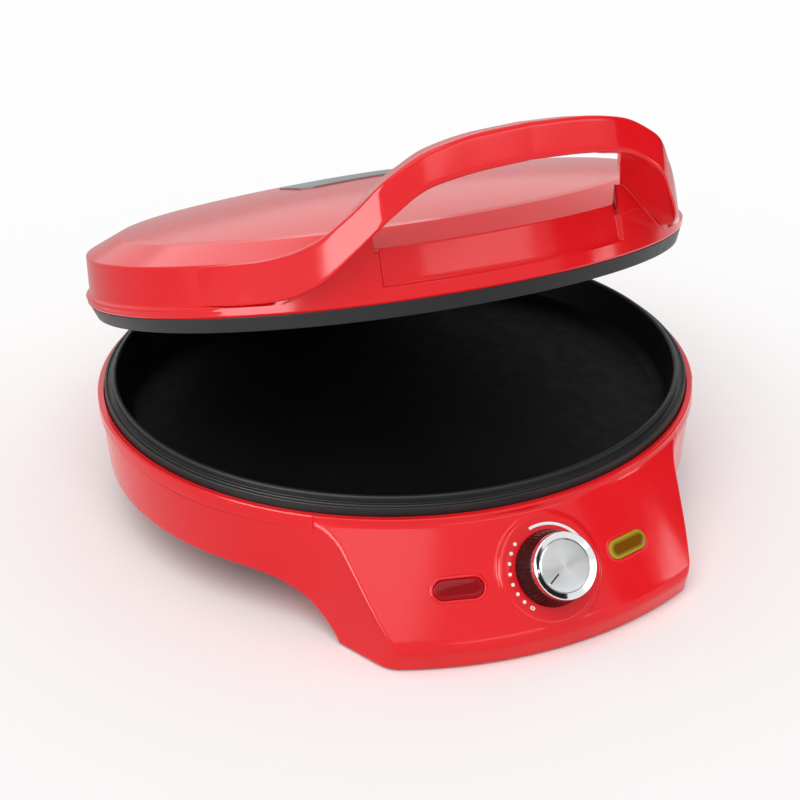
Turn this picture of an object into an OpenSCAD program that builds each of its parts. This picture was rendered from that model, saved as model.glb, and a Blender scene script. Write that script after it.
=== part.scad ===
// Electric pizza maker: round base with a front control pedestal, hinged domed lid with an arch handle.
// Millimetres. +Z up, front is -Y, origin on the table under the centre of the round pan.
// Heights named "above the seam" start at rim_z, with the lid closed.
// The lid and all it carries are drawn closed, then turned open by lid_ajar about the hinge axis.

/* [Main sizes] */
// outer radius of the lower plate's rim
pan_r = 162; // [155:0.5:170]
// height of the seam under that rim above the table
rim_z = 67.3; // [65:0.1:72]
// how far the feet stand out below the base
foot_h = 1.2; // [0.8:0.1:2.5]
// rest angle of the lid, from closed
lid_ajar = 16.77; // [0:0.01:60]
// wall thickness of the moulded shells
wall = 2.6; // [2:0.1:3.2]
// gap between pieces that are fitted together
fit = 0.1; // [0.05:0.05:0.2]
// gap between the closed lid's plate and the lower plate
close_gap = 0.3; // [0.2:0.05:1]

/* [Base] */
// how far the lip stands out beyond the rim
lip_w = 4; // [3:0.1:6]
// height of the lip
lip_h = 7.5; // [6:0.1:9]
// step in from the lip to the drum
drum_set = 1.2; // [0.5:0.1:2]
// how much the drum narrows to its lower edge
drum_taper = 2.5; // [1:0.1:4]
// drum depth below the seam
drum_h = 39.5; // [38:0.1:41]
// how far the panel stands out beyond the rim at the dial
panel_out = 20.9; // [19:0.1:24]
// dial height below the seam
dial_drop = 28; // [27:0.1:31]
// panel slope: radius gained per mm down
panel_k = 0.684; // [0.6:0.001:0.75]
// depth of the crease under the panel, below the seam
crease_drop = 54; // [52:0.1:57]
// how far the pedestal's front edge stands out beyond the rim at the table
front_out = 34.5; // [30:0.1:38]
// pedestal half width at its front corners
ped_w = 85.5; // [80:0.5:90]
// how far those corners stand out beyond the rim
ped_corner = 14.3; // [12:0.1:17]
// half width gained per mm towards the back
ped_flare = 0.40; // [0.2:0.01:0.5]
// how far inside the rim the arch behind the pedestal starts at the table
arch_in = 16; // [14:0.5:18]
// length of that arch, from the table up to the drum
arch_l = 50; // [47:0.5:53]
// half angle of the front housing's seam
seam_a = 38.3; // [37:0.1:40]
// half width of the rear block
rear_w = 66; // [62:0.5:75]
// rear block's rear face behind the hinge axis
rear_out = 29.2; // [28:0.1:36]
// rear block's front face before the hinge axis, at the table
rear_in = 24.6; // [22:0.1:26]
// rear block's top below the seam
rear_top = 19; // [17:0.1:21]
// thickness of the bottom cover
cover_t = 1.3; // [1:0.1:2]
// radius of the rubber feet
foot_r = 9; // [7:0.1:10]

/* [Plates] */
// height of the lower plate's outer ledge above the seam
ledge_h = 4.4; // [3.5:0.1:5.5]
// width of that ledge
ledge_w = 4.2; // [3.6:0.1:5]
// width of the raised ring inside the ledge
ring_w = 2.8; // [2:0.1:4]
// height of the raised ring above the seam
ring_h = 8.2; // [7:0.1:9]
// width of the pan's sloping side
pan_side_w = 8; // [6:0.1:10]
// depth of the pan floor below the seam
pan_drop = 14; // [12:0.5:15]
// plate thickness
plate_t = 3.4; // [3:0.1:4]
// gap between the raised ring and the upper plate's rim, lid closed
nest_gap = 0.6; // [0.4:0.1:1]
// how far inside the lower rim the upper plate's lower edge lies
up_set = 2; // [1.5:0.1:2.4]
// how far outside the lower rim the upper plate meets the lid
up_out = 1.1; // [0.8:0.1:2]
// height of the upper plate's rim
up_rim_h = 7.7; // [7:0.1:9]
// depth of the upper plate's hollow
hollow_h = 4.9; // [4.5:0.1:5.2]
// radius of both heating elements
element_r = 98; // [94:0.5:102]
// radius of the heating element tube
tube_r = 3.25; // [2.8:0.05:3.5]
// thickness of the heat shields
sheet = 0.8; // [0.5:0.1:1.2]

/* [Lid] */
// how far the lid's rim flange stands out beyond the upper plate
flange_w = 0.9; // [0.6:0.1:1.5]
// height of that flange
flange_h = 5.6; // [4.5:0.1:7]
// step in from the flange to the lid's wall
wall_set = 1.8; // [1.2:0.1:2]
// how much the wall narrows up to the crease
wall_taper = 1.2; // [0.6:0.1:2]
// height of the wall, from the flange to the crease
wall_h = 20; // [18:0.5:23]
// width of the bevel above the crease
bevel_w = 19.5; // [16:0.5:22]
// height of that bevel
bevel_h = 8; // [6:0.5:10]
// rise of the dome above the bevel
crown_h = 10; // [7:0.5:13]
// depth of the shallow panel in the front of the wall
front_dent = 1.2; // [0.5:0.1:1.4]
// half angle of that panel
dent_a = 22.5; // [20:0.5:24]

/* [Handle] */
// how far the bar stands out beyond the rim at its centre
bar_out_w = 34; // [30:0.5:37]
// how much further out its shoulders stand
shoulder = 5.2; // [3:0.1:6]
// bar top above the lid's crease at its centre
bar_rise = 50.6; // [44:0.1:54]
// bar height
bar_h = 13.8; // [11:0.1:15]
// bar depth
bar_d = 14; // [12:0.5:16]
// half angle at which the arms end on the lid
arm_a = 49; // [46:0.5:51]
// thickness of the rear half of the bar
back_t = 5; // [4:0.5:6]

/* [Hinge] */
// hinge axis behind the lip
hinge_back = 10.6; // [9.5:0.1:12]
// hinge axis below the seam
hinge_drop = 3.3; // [2.5:0.1:4]
// hinge pin radius
pin_r = 3; // [2.5:0.1:3.4]
// radial clearance of the pin
pin_gap = 0.05; // [0.02:0.01:0.1]
// radius of the lid's knuckles
knuckle_r = 7.5; // [7:0.1:7.8]
// distance of the lid's knuckles from the middle
arm_in = 34; // [32:0.5:36]
// width of each lid knuckle
arm_w = 13; // [12:0.5:14]
// friction washer thickness
washer_t = 1.1; // [0.8:0.1:1.5]
// thickness of the base's ears
ear_t = 9; // [7:0.5:9]

/* [Controls] */
// radius of the raised dial
dial_r = 27; // [26:0.1:29]
// height of the raised dial above the panel
dial_rise = 0.8; // [0.4:0.1:1.2]
// skirt radius at its base
skirt_r = 19.2; // [17.6:0.1:19.5]
// radius of the knob's face ring
knob_r = 16.5; // [15.5:0.1:17]
// height of the knob's face above the panel
knob_h = 19; // [17:0.5:21]
// control shaft radius
shaft_r = 3; // [2.5:0.1:3.5]
// running clearance of the shaft in the thermostat's bush
shaft_gap = 0.05; // [0.02:0.01:0.1]
// radius of the dial's scale
mark_r = 22; // [21:0.1:23]
// angle of the lamps either side of the dial
lamp_a = 14.85; // [14.5:0.01:16]
// lamp height below the seam
lamp_drop = 29.6; // [28:0.1:32]
// lamp window length
lamp_l = 25; // [22:0.5:27]
// lamp window height
lamp_h = 10; // [8:0.5:11]
// radius of the hole in the cord gland
cord_r = 3.6; // [3:0.1:4.2]

/* [Hidden] */
$fn = 180;
small_fn = 40;
// radii worked out from the rim
lip_r = pan_r + lip_w;
drum_top_r = lip_r - drum_set;
drum_low_r = drum_top_r - drum_taper;
ring_r = pan_r - ledge_w;
ring_in = ring_r - ring_w;
pan_floor_r = ring_in - pan_side_w;
nest_r = ring_r + nest_gap;
up_low_r = pan_r - up_set;
up_top_r = pan_r + up_out;
flange_r = up_top_r + flange_w;
wall_low_r = flange_r - wall_set;
wall_top_r = wall_low_r - wall_taper;
bevel_r = wall_top_r - bevel_w;
bar_r = pan_r + bar_out_w;
panel_r = pan_r + panel_out;
tilt = atan(panel_k);
// heights above the seam, lid closed
up_low_z = ledge_h + close_gap;
up_top_z = up_low_z + up_rim_h;
plate_z = up_low_z + hollow_h;
flange_z = up_top_z + flange_h;
crease_z = flange_z + wall_h;
bevel_z = crease_z + bevel_h;
bar_z = crease_z + bar_rise;
// heights above the table
base_z = rim_z - drum_h;
floor_z = base_z + wall;
axis_z = rim_z - hinge_drop;
rear_z = rim_z - rear_top;
pan_under = rim_z - pan_drop - plate_t;
plate_top = rim_z + plate_z + plate_t;
// hinge and rear block
hinge_y = lip_r + hinge_back;
rear_y = hinge_y + rear_out;
block_y = hinge_y - rear_in;
block_in = 32;
arm_out = arm_in + arm_w;
ear_in = arm_out + washer_t + fit;
ear_out = ear_in + ear_t;
// edges of the arch behind the pedestal
arch_y = pan_r - arch_in;
arch_end = arch_y - arch_l;
// bottom cover and its screws
cover_r = drum_low_r - 16.3;
cover_front = arch_end - 4;
cover_back = block_y - 22;
cover_lip = 2.5;
post_r = 5;
post_at = pan_floor_r - 9;
post_a = [55, 125, 235, 305];
screw_r = 1.9;
head_r = 3.4;
head_h = 1.6;
thread = 2.4;
// harness: radius of the sleeve, of its bends, and of its run round the drum inside the posts
wire_r = 2;
bend_r = wire_r + 0.15;
run_gap = 3.35;
loom_r = post_at - post_r - bend_r - run_gap;
loom_a0 = 20;
loom_a1 = 165;
loom_z = floor_z + bend_r + fit / 2;
// clamps and heat shields
clamp_t = 1.2;
clamp_hole = 11;
clamp_a = [30, 150, 210, 330];
loop_a = [-80, 260];
lead_l = 9.5;
shield_h = 7;
shield_r = loom_r - bend_r - run_gap;
shield_x = element_r - 23;
shield_y = 40;
up_shield_r = post_at - post_r - 3;
up_shield_z = plate_top + 2 * tube_r + 1.5 + 2 * fit;
up_post_at = 60;
// angles on the dial, clockwise from straight down
pointer_a = 56;
zero_a = 42;
dot_step = 13.35;
arc_a0 = 164;
arc_a1 = 300;
mark_t = 0.2;
hub_drop = 8;
// boss behind the dial that carries the thermostat, and how deep the dial's disc is rooted in the panel
boss_l = 2.4;
boss_r = 12;
dial_root = 2;
// front and rear of the thermostat's case, along the dial's axis
case_front = -boss_l - wall - fit;
case_l = 17;
case_rear = case_front - case_l;
// cord gland and terminal block
gland_x = 40;
gland_z = 28;
gland_r = 6;
block_l = 40;
block_d = 18;
block_h = 15;
term_y = hinge_y + 1.4;
// distance of the feet from the base's edges
foot_in = 19.5;
// heights above the table of the two screws in each hinge arm
arm_screw_z = [rim_z + flange_z + 4.4, rim_z + flange_z + 13];
// badge on the lid's crown
badge_t = 0.7;
badge_y = 38;
// stations along the handle
bar_n = 56;
// handle screws: angle from the front, and height above the seam
handle_a = 37;
handle_z = crease_z - 9;

red = [0.85, 0.08, 0.1];
zinc = [0.7, 0.7, 0.72];
coated = [0.22, 0.22, 0.23];
dark = [0.12, 0.12, 0.12];
bright = [0.8, 0.8, 0.82];
ceramic = [0.9, 0.9, 0.88];

// radius of the panel cone, d below the seam
function cone_r(d) = panel_r + panel_k * (d - dial_drop);
// half width of the pedestal at depth y, negative at the front
function ped_x(y) = ped_w + ped_flare * (y + pan_r + ped_corner);
// smooth step from 0 to 1 between a and b
function ease(v, a, b) = let(u = min(1, max(0, (v - a) / (b - a)))) u * u * (3 - 2 * u);
// a point given in the dial's frame: x across, y up the panel, z out along the knob's axis
function dial_point(x, y, z) = [x, -panel_r + y * sin(tilt) - z * cos(tilt),
  rim_z - dial_drop + y * cos(tilt) + z * sin(tilt)];
// a point at radius r and angle a from the front, at height z
function around(r, a, z) = [r * sin(a), -r * cos(a), z];

// a 2-D shape drawn in (y, z), made w wide and centred on x = 0
module slab(w) {
  rotate([90, 0, 90]) translate([0, 0, -w / 2]) linear_extrude(w) children();
}
// a cylinder along x from x0 to x1
module x_rod(r, x0, x1) {
  translate([x0, 0, 0]) rotate([0, 90, 0]) cylinder(r = r, h = x1 - x0, $fn = 72);
}
// children on the panel at angle a, d below the seam, with +Z along the panel's normal
module on_panel(a, d) {
  rotate([0, 0, a]) translate([0, -cone_r(d), rim_z - d]) rotate([90 - tilt, 0, 0]) children();
}
// children at radius r and angle a from the front, at height z
module at_angle(r, a, z) {
  rotate([0, 0, a]) translate([0, -r, z]) children();
}
// turns the closed lid to its rest pose
module opened() {
  translate([0, hinge_y, axis_z]) rotate([-lid_ajar, 0, 0]) translate([0, -hinge_y, -axis_z]) children();
}
// a slot l by h with round ends
module pill(l, h) {
  square([l - h, h], center = true);
  for (s = [-1, 1]) translate([s * (l - h) / 2, 0]) circle(h / 2);
}
// round rod from a to b, with a ball at its start that covers the bend
module rod(a, b) {
  d = b - a;
  translate(a) {
    sphere(bend_r, $fn = 32);
    rotate([0, acos(d[2] / norm(d)), atan2(d[1], d[0])]) cylinder(r = wire_r, h = norm(d), $fn = 32);
  }
}
// pan-head screw: seat at z = 0, head below it, shank l long above it
module screw(l) {
  difference() {
    union() {
      translate([0, 0, -head_h]) cylinder(r = head_r, h = head_h, $fn = small_fn);
      cylinder(r = screw_r, h = l, $fn = small_fn);
    }
    for (q = [0, 90]) rotate([0, 0, q]) translate([-2, -0.4, -head_h - 0.4]) cube([4, 0.8, 1.2]);
  }
}

// drum profile, inset by t
module drum(t) {
  seat = pan_r - 4.5;
  translate([0, 0, rim_z]) rotate_extrude() {
    if (t == 0) {
      polygon([[0, -drum_h], [drum_low_r, -drum_h], [drum_top_r, -lip_h - 1.5], [lip_r, -lip_h],
        [lip_r, -0.8], [lip_r - 0.8, 0], [0, 0]]);
    } else {
      polygon([[0, t - drum_h], [drum_low_r - t, t - drum_h], [drum_top_r - t, -lip_h - 1.5],
        [seat, -6], [seat, 1], [0, 1]]);
    }
  }
}
// arch under the pedestal's rear: steep at the table and level where it meets the drum, inset by t
function arch(t) = [for (u = [0:0.04:1]) [-arch_y + arch_l * u - t * (1 - u),
  foot_h + t + (base_z - foot_h) * pow(sin(90 * u), 0.75)]];
// front pedestal, inset by t
module pedestal(t) {
  c = t / cos(tilt);
  out_y = pan_r + 58;
  flare_y = arch_y - 28;
  in_y = arch_end - 6;
  intersection() {
    translate([0, 0, rim_z]) rotate_extrude() polygon([[0, -t], [cone_r(3) - c, -t - 2],
      [cone_r(3) - c, -3 - t], [cone_r(crease_drop) - c, -crease_drop],
      [pan_r + front_out - t, foot_h - rim_z + t], [0, foot_h - rim_z + t]]);
    linear_extrude(rim_z + 10) polygon([[t - ped_x(-out_y), -out_y], [ped_x(-out_y) - t, -out_y],
      [ped_x(-flare_y) - t, -flare_y], [ped_x(-flare_y) - t, -in_y], [t - ped_x(-flare_y), -in_y],
      [t - ped_x(-flare_y), -flare_y]]);
    slab(260) polygon(concat([[-out_y - 10, foot_h + t], [-arch_y - t, foot_h + t]], arch(t),
      [[-in_y, base_z + t], [-in_y, rim_z], [-out_y - 10, rim_z]]));
  }
}
// rear block, inset by t
module rear_block(t) {
  slab(2 * rear_w - 2 * t) polygon([[block_y - block_in, base_z + t], [block_y - 14, base_z + t - 1],
    [block_y - 4 + t, foot_h + 16.8 + t], [block_y + t, foot_h + t], [rear_y - 4 - t, foot_h + t],
    [rear_y - t, foot_h + 6], [rear_y - t, rear_z - 8 - t / 2], [rear_y - 7 - t / 2, rear_z - t],
    [block_y - block_in, rear_z - t]]);
}
// hinge ears on the rear block
module ears() {
  for (s = [-1, 1]) translate([s * (ear_in + ear_out) / 2, 0, 0]) slab(ear_t) {
    translate([hinge_y, axis_z]) circle(knuckle_r + 1);
    polygon([[hinge_y - 18.6, axis_z - 1.5], [hinge_y - knuckle_r - 0.5, axis_z + 3],
      [hinge_y + knuckle_r + 1, axis_z], [hinge_y + 20, rear_z - 3], [hinge_y - 18.6, rear_z - 3]]);
  }
}
// outline of the bottom cover, inset by t
module cover_outline(t) {
  intersection() {
    circle(cover_r - t);
    translate([-cover_r, -cover_front + t]) square([2 * cover_r, cover_front + cover_back - 2 * t]);
  }
}
// both base mouldings in one piece
module body() {
  difference() {
    union() {
      drum(0);
      pedestal(0);
      rear_block(0);
      ears();
    }
    drum(wall);
    pedestal(wall);
    rear_block(wall);
    translate([0, 0, rim_z - 3]) cylinder(r = pan_r + 0.4, h = 10);
    translate([0, 0, base_z - 1]) linear_extrude(20) cover_outline(cover_lip);
    translate([0, 0, base_z - 1]) linear_extrude(cover_t + fit + 1) cover_outline(0);
    translate([0, hinge_y, axis_z]) x_rod(pin_r + pin_gap, -ear_out - 1, ear_out + 1);
    translate([gland_x, rear_y + 5, gland_z]) rotate([90, 0, 0])
      cylinder(r = gland_r, h = 20, $fn = small_fn);
  }
}
// wedge that divides the front housing from the base shell, half angle a
module wedge(a) {
  far = 2 * pan_r;
  translate([0, 0, -5]) linear_extrude(rim_z + 20)
    polygon([[0, 0], [-far * sin(a), -far * cos(a)], [far * sin(a), -far * cos(a)]]);
}
module base_shell() {
  color(red) difference() {
    body();
    wedge(seam_a);
  }
}
module front_housing() {
  seam_gap = 0.03;
  color(red) difference() {
    union() {
      intersection() {
        body();
        wedge(seam_a - seam_gap);
      }
      dial_disc();
    }
    on_panel(0, dial_drop) translate([0, 0, -20]) cylinder(r = shaft_r + 1.5, h = 40, $fn = small_fn);
    for (s = [-1, 1]) on_panel(s * lamp_a, lamp_drop) translate([0, 0, -10]) linear_extrude(20)
      pill(lamp_l, lamp_h);
  }
}
// flat raised disc of the dial, and the boss behind it
module dial_disc() {
  on_panel(0, dial_drop) {
    translate([0, 0, -dial_root]) cylinder(r = dial_r, h = dial_root + dial_rise);
    translate([0, 0, -wall - boss_l]) cylinder(r = boss_r, h = boss_l + wall);
  }
}
module bottom_cover() {
  vent_x = 38;
  vent_l = 46;
  vent_w = 3;
  vent_step = 9;
  color(dark) translate([0, 0, base_z]) difference() {
    linear_extrude(cover_t) cover_outline(fit);
    for (a = post_a) at_angle(post_at, a, -1) cylinder(r = screw_r + fit, h = 5, $fn = small_fn);
    for (s = [-1, 1]) translate([s * shield_x, shield_y, -1])
      cylinder(r = screw_r + fit, h = 5, $fn = small_fn);
    for (s = [-1, 1], i = [-5:5]) translate([s * vent_x, i * vent_step + 10, -1]) linear_extrude(5)
      pill(vent_l, vent_w);
  }
}
module cover_screws() {
  color(zinc) for (a = post_a) at_angle(post_at, a, base_z) screw(8);
}
module rubber_feet() {
  color(dark) for (s = [-1, 1]) {
    translate([s * (ped_w - foot_in), -arch_y - foot_in - 0.5, 0]) foot();
    translate([s * (rear_w - foot_in), block_y + foot_in, 0]) foot();
  }
}
module foot() {
  rotate_extrude($fn = 60)
    polygon([[0, 0], [foot_r - 0.8, 0], [foot_r, 0.6], [foot_r, foot_h], [0, foot_h]]);
}

// revolved pan with a stepped rim, screw posts and clamp holes under it
module lower_plate() {
  color(coated) {
    difference() {
      lower_pan();
      for (a = clamp_a, y = [-1, 1]) at_angle(element_r + y * clamp_hole, a, pan_under - 1)
        cylinder(r = screw_r, h = 1 + thread + 0.2, $fn = small_fn);
    }
    for (a = post_a) at_angle(post_at, a, base_z + cover_t + fit) difference() {
      cylinder(r = post_r, h = pan_under - base_z - cover_t - fit + 0.5, $fn = small_fn);
      translate([0, 0, -1]) cylinder(r = screw_r, h = 9, $fn = small_fn);
    }
  }
}
module lower_pan() {
  groove_r = pan_r - 2;
  seat = 0.02 - 3;
  translate([0, 0, rim_z]) rotate_extrude() polygon([
    [0, -pan_drop], [pan_floor_r, -pan_drop], [pan_floor_r + 4, -pan_drop + 3],
    [ring_in, ring_h - 0.8], [ring_in + 0.8, ring_h], [ring_r - 0.8, ring_h],
    [ring_r, ring_h - 0.8], [ring_r, ledge_h], [groove_r - 0.5, ledge_h], [groove_r, ledge_h - 0.5],
    [groove_r + 0.5, ledge_h], [pan_r - 0.6, ledge_h], [pan_r, ledge_h - 0.6], [pan_r, seat],
    [pan_r - 6, seat], [pan_r - 9.5, -7], [pan_floor_r + 2, -pan_drop - plate_t + 1],
    [pan_floor_r, -pan_drop - plate_t], [0, -pan_drop - plate_t]]);
}
module lower_element() {
  color([0.45, 0.42, 0.4]) loop(pan_under - tube_r - fit, -1);
}
// open heater loop; its ends bend away from the plate, down for s = -1 and up for s = 1
module loop(z, s) {
  translate([0, 0, z]) {
    rotate([0, 0, loop_a[0]]) rotate_extrude(angle = loop_a[1] - loop_a[0]) translate([element_r, 0])
      circle(tube_r, $fn = small_fn);
    for (e = loop_a) rotate([0, 0, e]) translate([element_r, 0, 0]) {
      sphere(tube_r, $fn = 24);
      mirror([0, 0, s < 0 ? 1 : 0]) cylinder(r = tube_r, h = lead_l, $fn = small_fn);
    }
  }
}
// bridges that press a heater loop on its plate at height z, from below for s = -1
module clamps(z, s) {
  bridge = 2 * tube_r;
  for (a = clamp_a) at_angle(element_r, a, z) mirror([0, 0, s > 0 ? 0 : 1]) difference() {
    union() {
      translate([-5, -tube_r - 2, 0]) cube([10, bridge + 4, bridge + 1.5]);
      translate([-5, -clamp_hole - 4, 0]) cube([10, 2 * clamp_hole + 8, clamp_t]);
    }
    translate([-6, 0, tube_r + 0.02]) rotate([0, 90, 0]) cylinder(r = tube_r + fit, h = 12, $fn = small_fn);
    translate([-6, -tube_r - fit, -1]) cube([12, bridge + 2 * fit, tube_r + 1]);
    for (y = [-1, 1]) translate([0, y * clamp_hole, -1]) cylinder(r = screw_r, h = 5, $fn = small_fn);
  }
}
// screws through both feet of each clamp
module clamp_screws(z, s) {
  for (a = clamp_a, y = [-1, 1]) at_angle(element_r + y * clamp_hole, a, z + s * (clamp_t + fit / 2))
    mirror([0, 0, s > 0 ? 1 : 0]) screw(clamp_t + fit / 2 + thread);
}
module lower_clamps() {
  color(zinc) clamps(pan_under - fit / 2, -1);
}
module lower_clamp_screws() {
  color(zinc) clamp_screws(pan_under, -1);
}
// dished heat shield of radius r at height z, with holes for the heater's ends
module shield(r, z, lip) {
  difference() {
    translate([0, 0, z]) rotate_extrude() polygon([[0, 0], [r - 4, 0], [r, lip], [r, lip + sheet],
      [r - 4.5, sheet], [0, sheet]]);
    for (e = loop_a) rotate([0, 0, e]) translate([element_r, 0, z - 5])
      cylinder(r = tube_r + 1.5, h = 20, $fn = small_fn);
  }
}
module lower_reflector() {
  z = base_z + shield_h;
  low = cover_t + fit;
  color(bright) difference() {
    union() {
      shield(shield_r, z, 5);
      for (s = [-1, 1]) translate([s * shield_x, shield_y, base_z + low])
        cylinder(r = 4, h = shield_h - low + 0.01, $fn = small_fn);
    }
    for (s = [-1, 1]) translate([s * shield_x, shield_y, base_z])
      cylinder(r = screw_r, h = 20, $fn = small_fn);
  }
}
module lower_shield_screws() {
  color(zinc) for (s = [-1, 1]) translate([s * shield_x, shield_y, base_z]) screw(shield_h - 0.5);
}
// thermal cut-out that lies on the lower shield
module thermal_fuse() {
  color(ceramic) at_angle(0.75 * element_r, 213, base_z + shield_h + sheet + fit / 2) {
    cylinder(r = 8, h = 7, $fn = small_fn);
    for (s = [-1, 1]) translate([s * 9.5 - 3, -2.5, 0]) cube([6, 5, 1]);
    for (s = [-1, 1]) translate([s * 4 - 0.4, -3, 6.9]) cube([0.8, 6, 6]);
  }
}
module terminal_block() {
  color(ceramic) translate([0, term_y, foot_h + wall + fit / 2]) difference() {
    translate([-block_l / 2, -block_d / 2, 0]) cube([block_l, block_d, block_h]);
    for (x = [-13.5, -4.5, 4.5, 13.5]) translate([x, 0, block_h - 7]) {
      rotate([90, 0, 0]) translate([0, 0, -block_d / 2 - 1])
        cylinder(r = 2.4, h = block_d + 2, $fn = small_fn);
      cylinder(r = 2, h = 10, $fn = small_fn);
    }
  }
}
// sleeved harness from the terminal block, round the inside of the drum, to the thermostat
module wiring() {
  rear = [9, term_y, foot_h + wall + block_h + fit];
  color(ceramic) {
    translate([0, 0, loom_z]) rotate([0, 0, loom_a0 - 90]) rotate_extrude(angle = loom_a1 - loom_a0)
      translate([loom_r, 0]) circle(wire_r, $fn = 32);
    rod(around(loom_r, loom_a0, loom_z), dial_point(8, 0, case_rear - 8));
    rod(dial_point(8, 0, case_rear - 8), dial_point(8, 0, case_rear - fit / 2));
    rod(around(loom_r, loom_a1, loom_z), [18, block_y - 6, loom_z]);
    rod([18, block_y - 6, loom_z], [rear[0], rear[1], loom_z]);
    rod([rear[0], rear[1], loom_z], rear);
  }
}

// thermostat case, fixing strap, bush and tabs, in the dial's frame
module thermostat() {
  color(bright) on_panel(0, dial_drop) difference() {
    union() {
      translate([-17, -13, case_rear]) cube([34, 26, case_l]);
      translate([-21, -5, case_front - 1.2]) cube([42, 10, 1.2]);
      for (x = [-12, 0, 12]) translate([x - 3, 12, case_front - 12]) cube([6, 9, 0.8]);
    }
    translate([0, 0, case_front - 12]) cylinder(r = shaft_r + shaft_gap, h = 20, $fn = small_fn);
  }
}
module control_shaft() {
  l = knob_h - hub_drop - case_front + 11.9;
  color(bright) on_panel(0, dial_drop) translate([0, 0, case_front - 11.9])
    cylinder(r = shaft_r, h = l, $fn = small_fn);
}
// ribbed skirt with its top plate and the hub that grips the shaft
module knob_skirt() {
  z = dial_rise + 4 * fit;
  h = knob_h - z - 3.6;
  grip = 0.02;
  ribs = 48;
  color([0.35, 0.02, 0.04]) on_panel(0, dial_drop) translate([0, 0, z]) difference() {
    union() {
      difference() {
        intersection() {
          rotate_extrude() polygon([[0, 0], [skirt_r, 0], [skirt_r, 1], [knob_r + 0.2, h], [0, h]]);
          translate([0, 0, -1]) linear_extrude(h + 5) polygon([for (i = [0:3 * ribs - 1])
            (i % 3 == 0 ? skirt_r - 1 : skirt_r + 0.2) * [cos(i * 120 / ribs), sin(i * 120 / ribs)]]);
        }
        translate([0, 0, -1]) cylinder(r = knob_r - 2.5, h = h - 0.4);
      }
      translate([0, 0, 1]) cylinder(r = shaft_r + 3, h = h - 1.5, $fn = small_fn);
    }
    translate([0, 0, -1]) cylinder(r = shaft_r + grip, h = knob_h - hub_drop - z + 1.2, $fn = small_fn);
  }
}
module knob_ring() {
  low = knob_h - 3.55;
  color(bright) on_panel(0, dial_drop) rotate_extrude() polygon([[knob_r - 3.3, low], [knob_r + 0.2, low],
    [knob_r, knob_h - 1.2], [knob_r - 1, knob_h], [knob_r - 2.6, knob_h], [knob_r - 3.3, knob_h - 0.7]]);
}
module knob_cap() {
  low = knob_h - 3.55;
  color([0.85, 0.85, 0.86]) on_panel(0, dial_drop) translate([0, 0, low])
    cylinder(r = knob_r - 3.3 - fit / 2, h = knob_h - 1.1 - fit / 2 - low);
}
module knob_pointer() {
  color([0.05, 0.05, 0.05]) on_panel(0, dial_drop) rotate([0, 0, -pointer_a])
    translate([-0.35, 4.7 - knob_r, knob_h - 1.1]) cube([0.7, 6.2, 0.3]);
}
// printed scale on the raised dial: a zero, seven dots and an arc
module dial_marks() {
  color([0.95, 0.95, 0.95]) on_panel(0, dial_drop) translate([0, 0, dial_rise]) {
    for (i = [1:7]) rotate([0, 0, -zero_a - i * dot_step]) translate([0, -mark_r, 0])
      cylinder(r = 0.9, h = mark_t, $fn = 24);
    rotate([0, 0, -zero_a]) translate([0, -mark_r, 0]) linear_extrude(mark_t) difference() {
      pill(2.6, 1.8);
      pill(1.5, 0.7);
    }
    rotate([0, 0, -90 - arc_a1]) rotate_extrude(angle = arc_a1 - arc_a0) translate([mark_r - 0.7, 0])
      square([1.4, mark_t]);
  }
}
// lamp window that fills its slot, with a flange behind the panel
module lens() {
  translate([0, 0, -wall - 1.2]) linear_extrude(wall + 2) pill(lamp_l - 2 * fit, lamp_h - 2 * fit);
  translate([0, 0, -wall - 2.4]) linear_extrude(1.2) pill(lamp_l + 4, lamp_h + 4);
}
module power_lens() {
  color([0.75, 0.03, 0.05]) on_panel(-lamp_a, lamp_drop) lens();
}
module ready_lens() {
  color([0.65, 0.5, 0.05]) on_panel(lamp_a, lamp_drop) lens();
}
// neon lamp behind each lens
module lamp_holders() {
  color(ceramic) for (s = [-1, 1]) on_panel(s * lamp_a, lamp_drop) translate([0, 0, -wall - 2.4 - fit]) {
    translate([-9, -4, -7]) cube([18, 8, 7]);
    for (x = [-5, 5]) translate([x, 0, -13]) cylinder(r = 0.6, h = 7, $fn = 16);
  }
}
// bush in the rear wall, where the supply enters
module cord_gland() {
  inner = -wall - 1.5;
  color(dark) translate([gland_x, rear_y, gland_z]) rotate([-90, 0, 0]) difference() {
    union() {
      translate([0, 0, inner]) cylinder(r = gland_r - fit, h = wall + 2, $fn = small_fn);
      cylinder(r = gland_r + 2.5, h = 2, $fn = 60);
      translate([0, 0, inner]) cylinder(r = gland_r + 1.2, h = 1.4, $fn = 60);
    }
    translate([0, 0, -10]) cylinder(r = cord_r, h = 20, $fn = small_fn);
  }
}

module hinge_pin() {
  cap_r = pin_r + 1.8;
  cap_t = 2;
  color(zinc) translate([0, hinge_y, axis_z]) {
    x_rod(pin_r, -ear_out - cap_t, ear_out + fit / 2);
    x_rod(cap_r, -ear_out - cap_t, -ear_out - fit / 2);
    x_rod(cap_r, ear_out + fit / 2, ear_out + cap_t);
  }
}
module hinge_washers() {
  x = arm_out + fit / 2 + washer_t / 2;
  color(bright) for (s = [-1, 1]) translate([s * x, hinge_y, axis_z]) difference() {
    x_rod(knuckle_r - 0.5, -washer_t / 2, washer_t / 2);
    x_rod(pin_r + pin_gap, -2, 2);
  }
}
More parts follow.
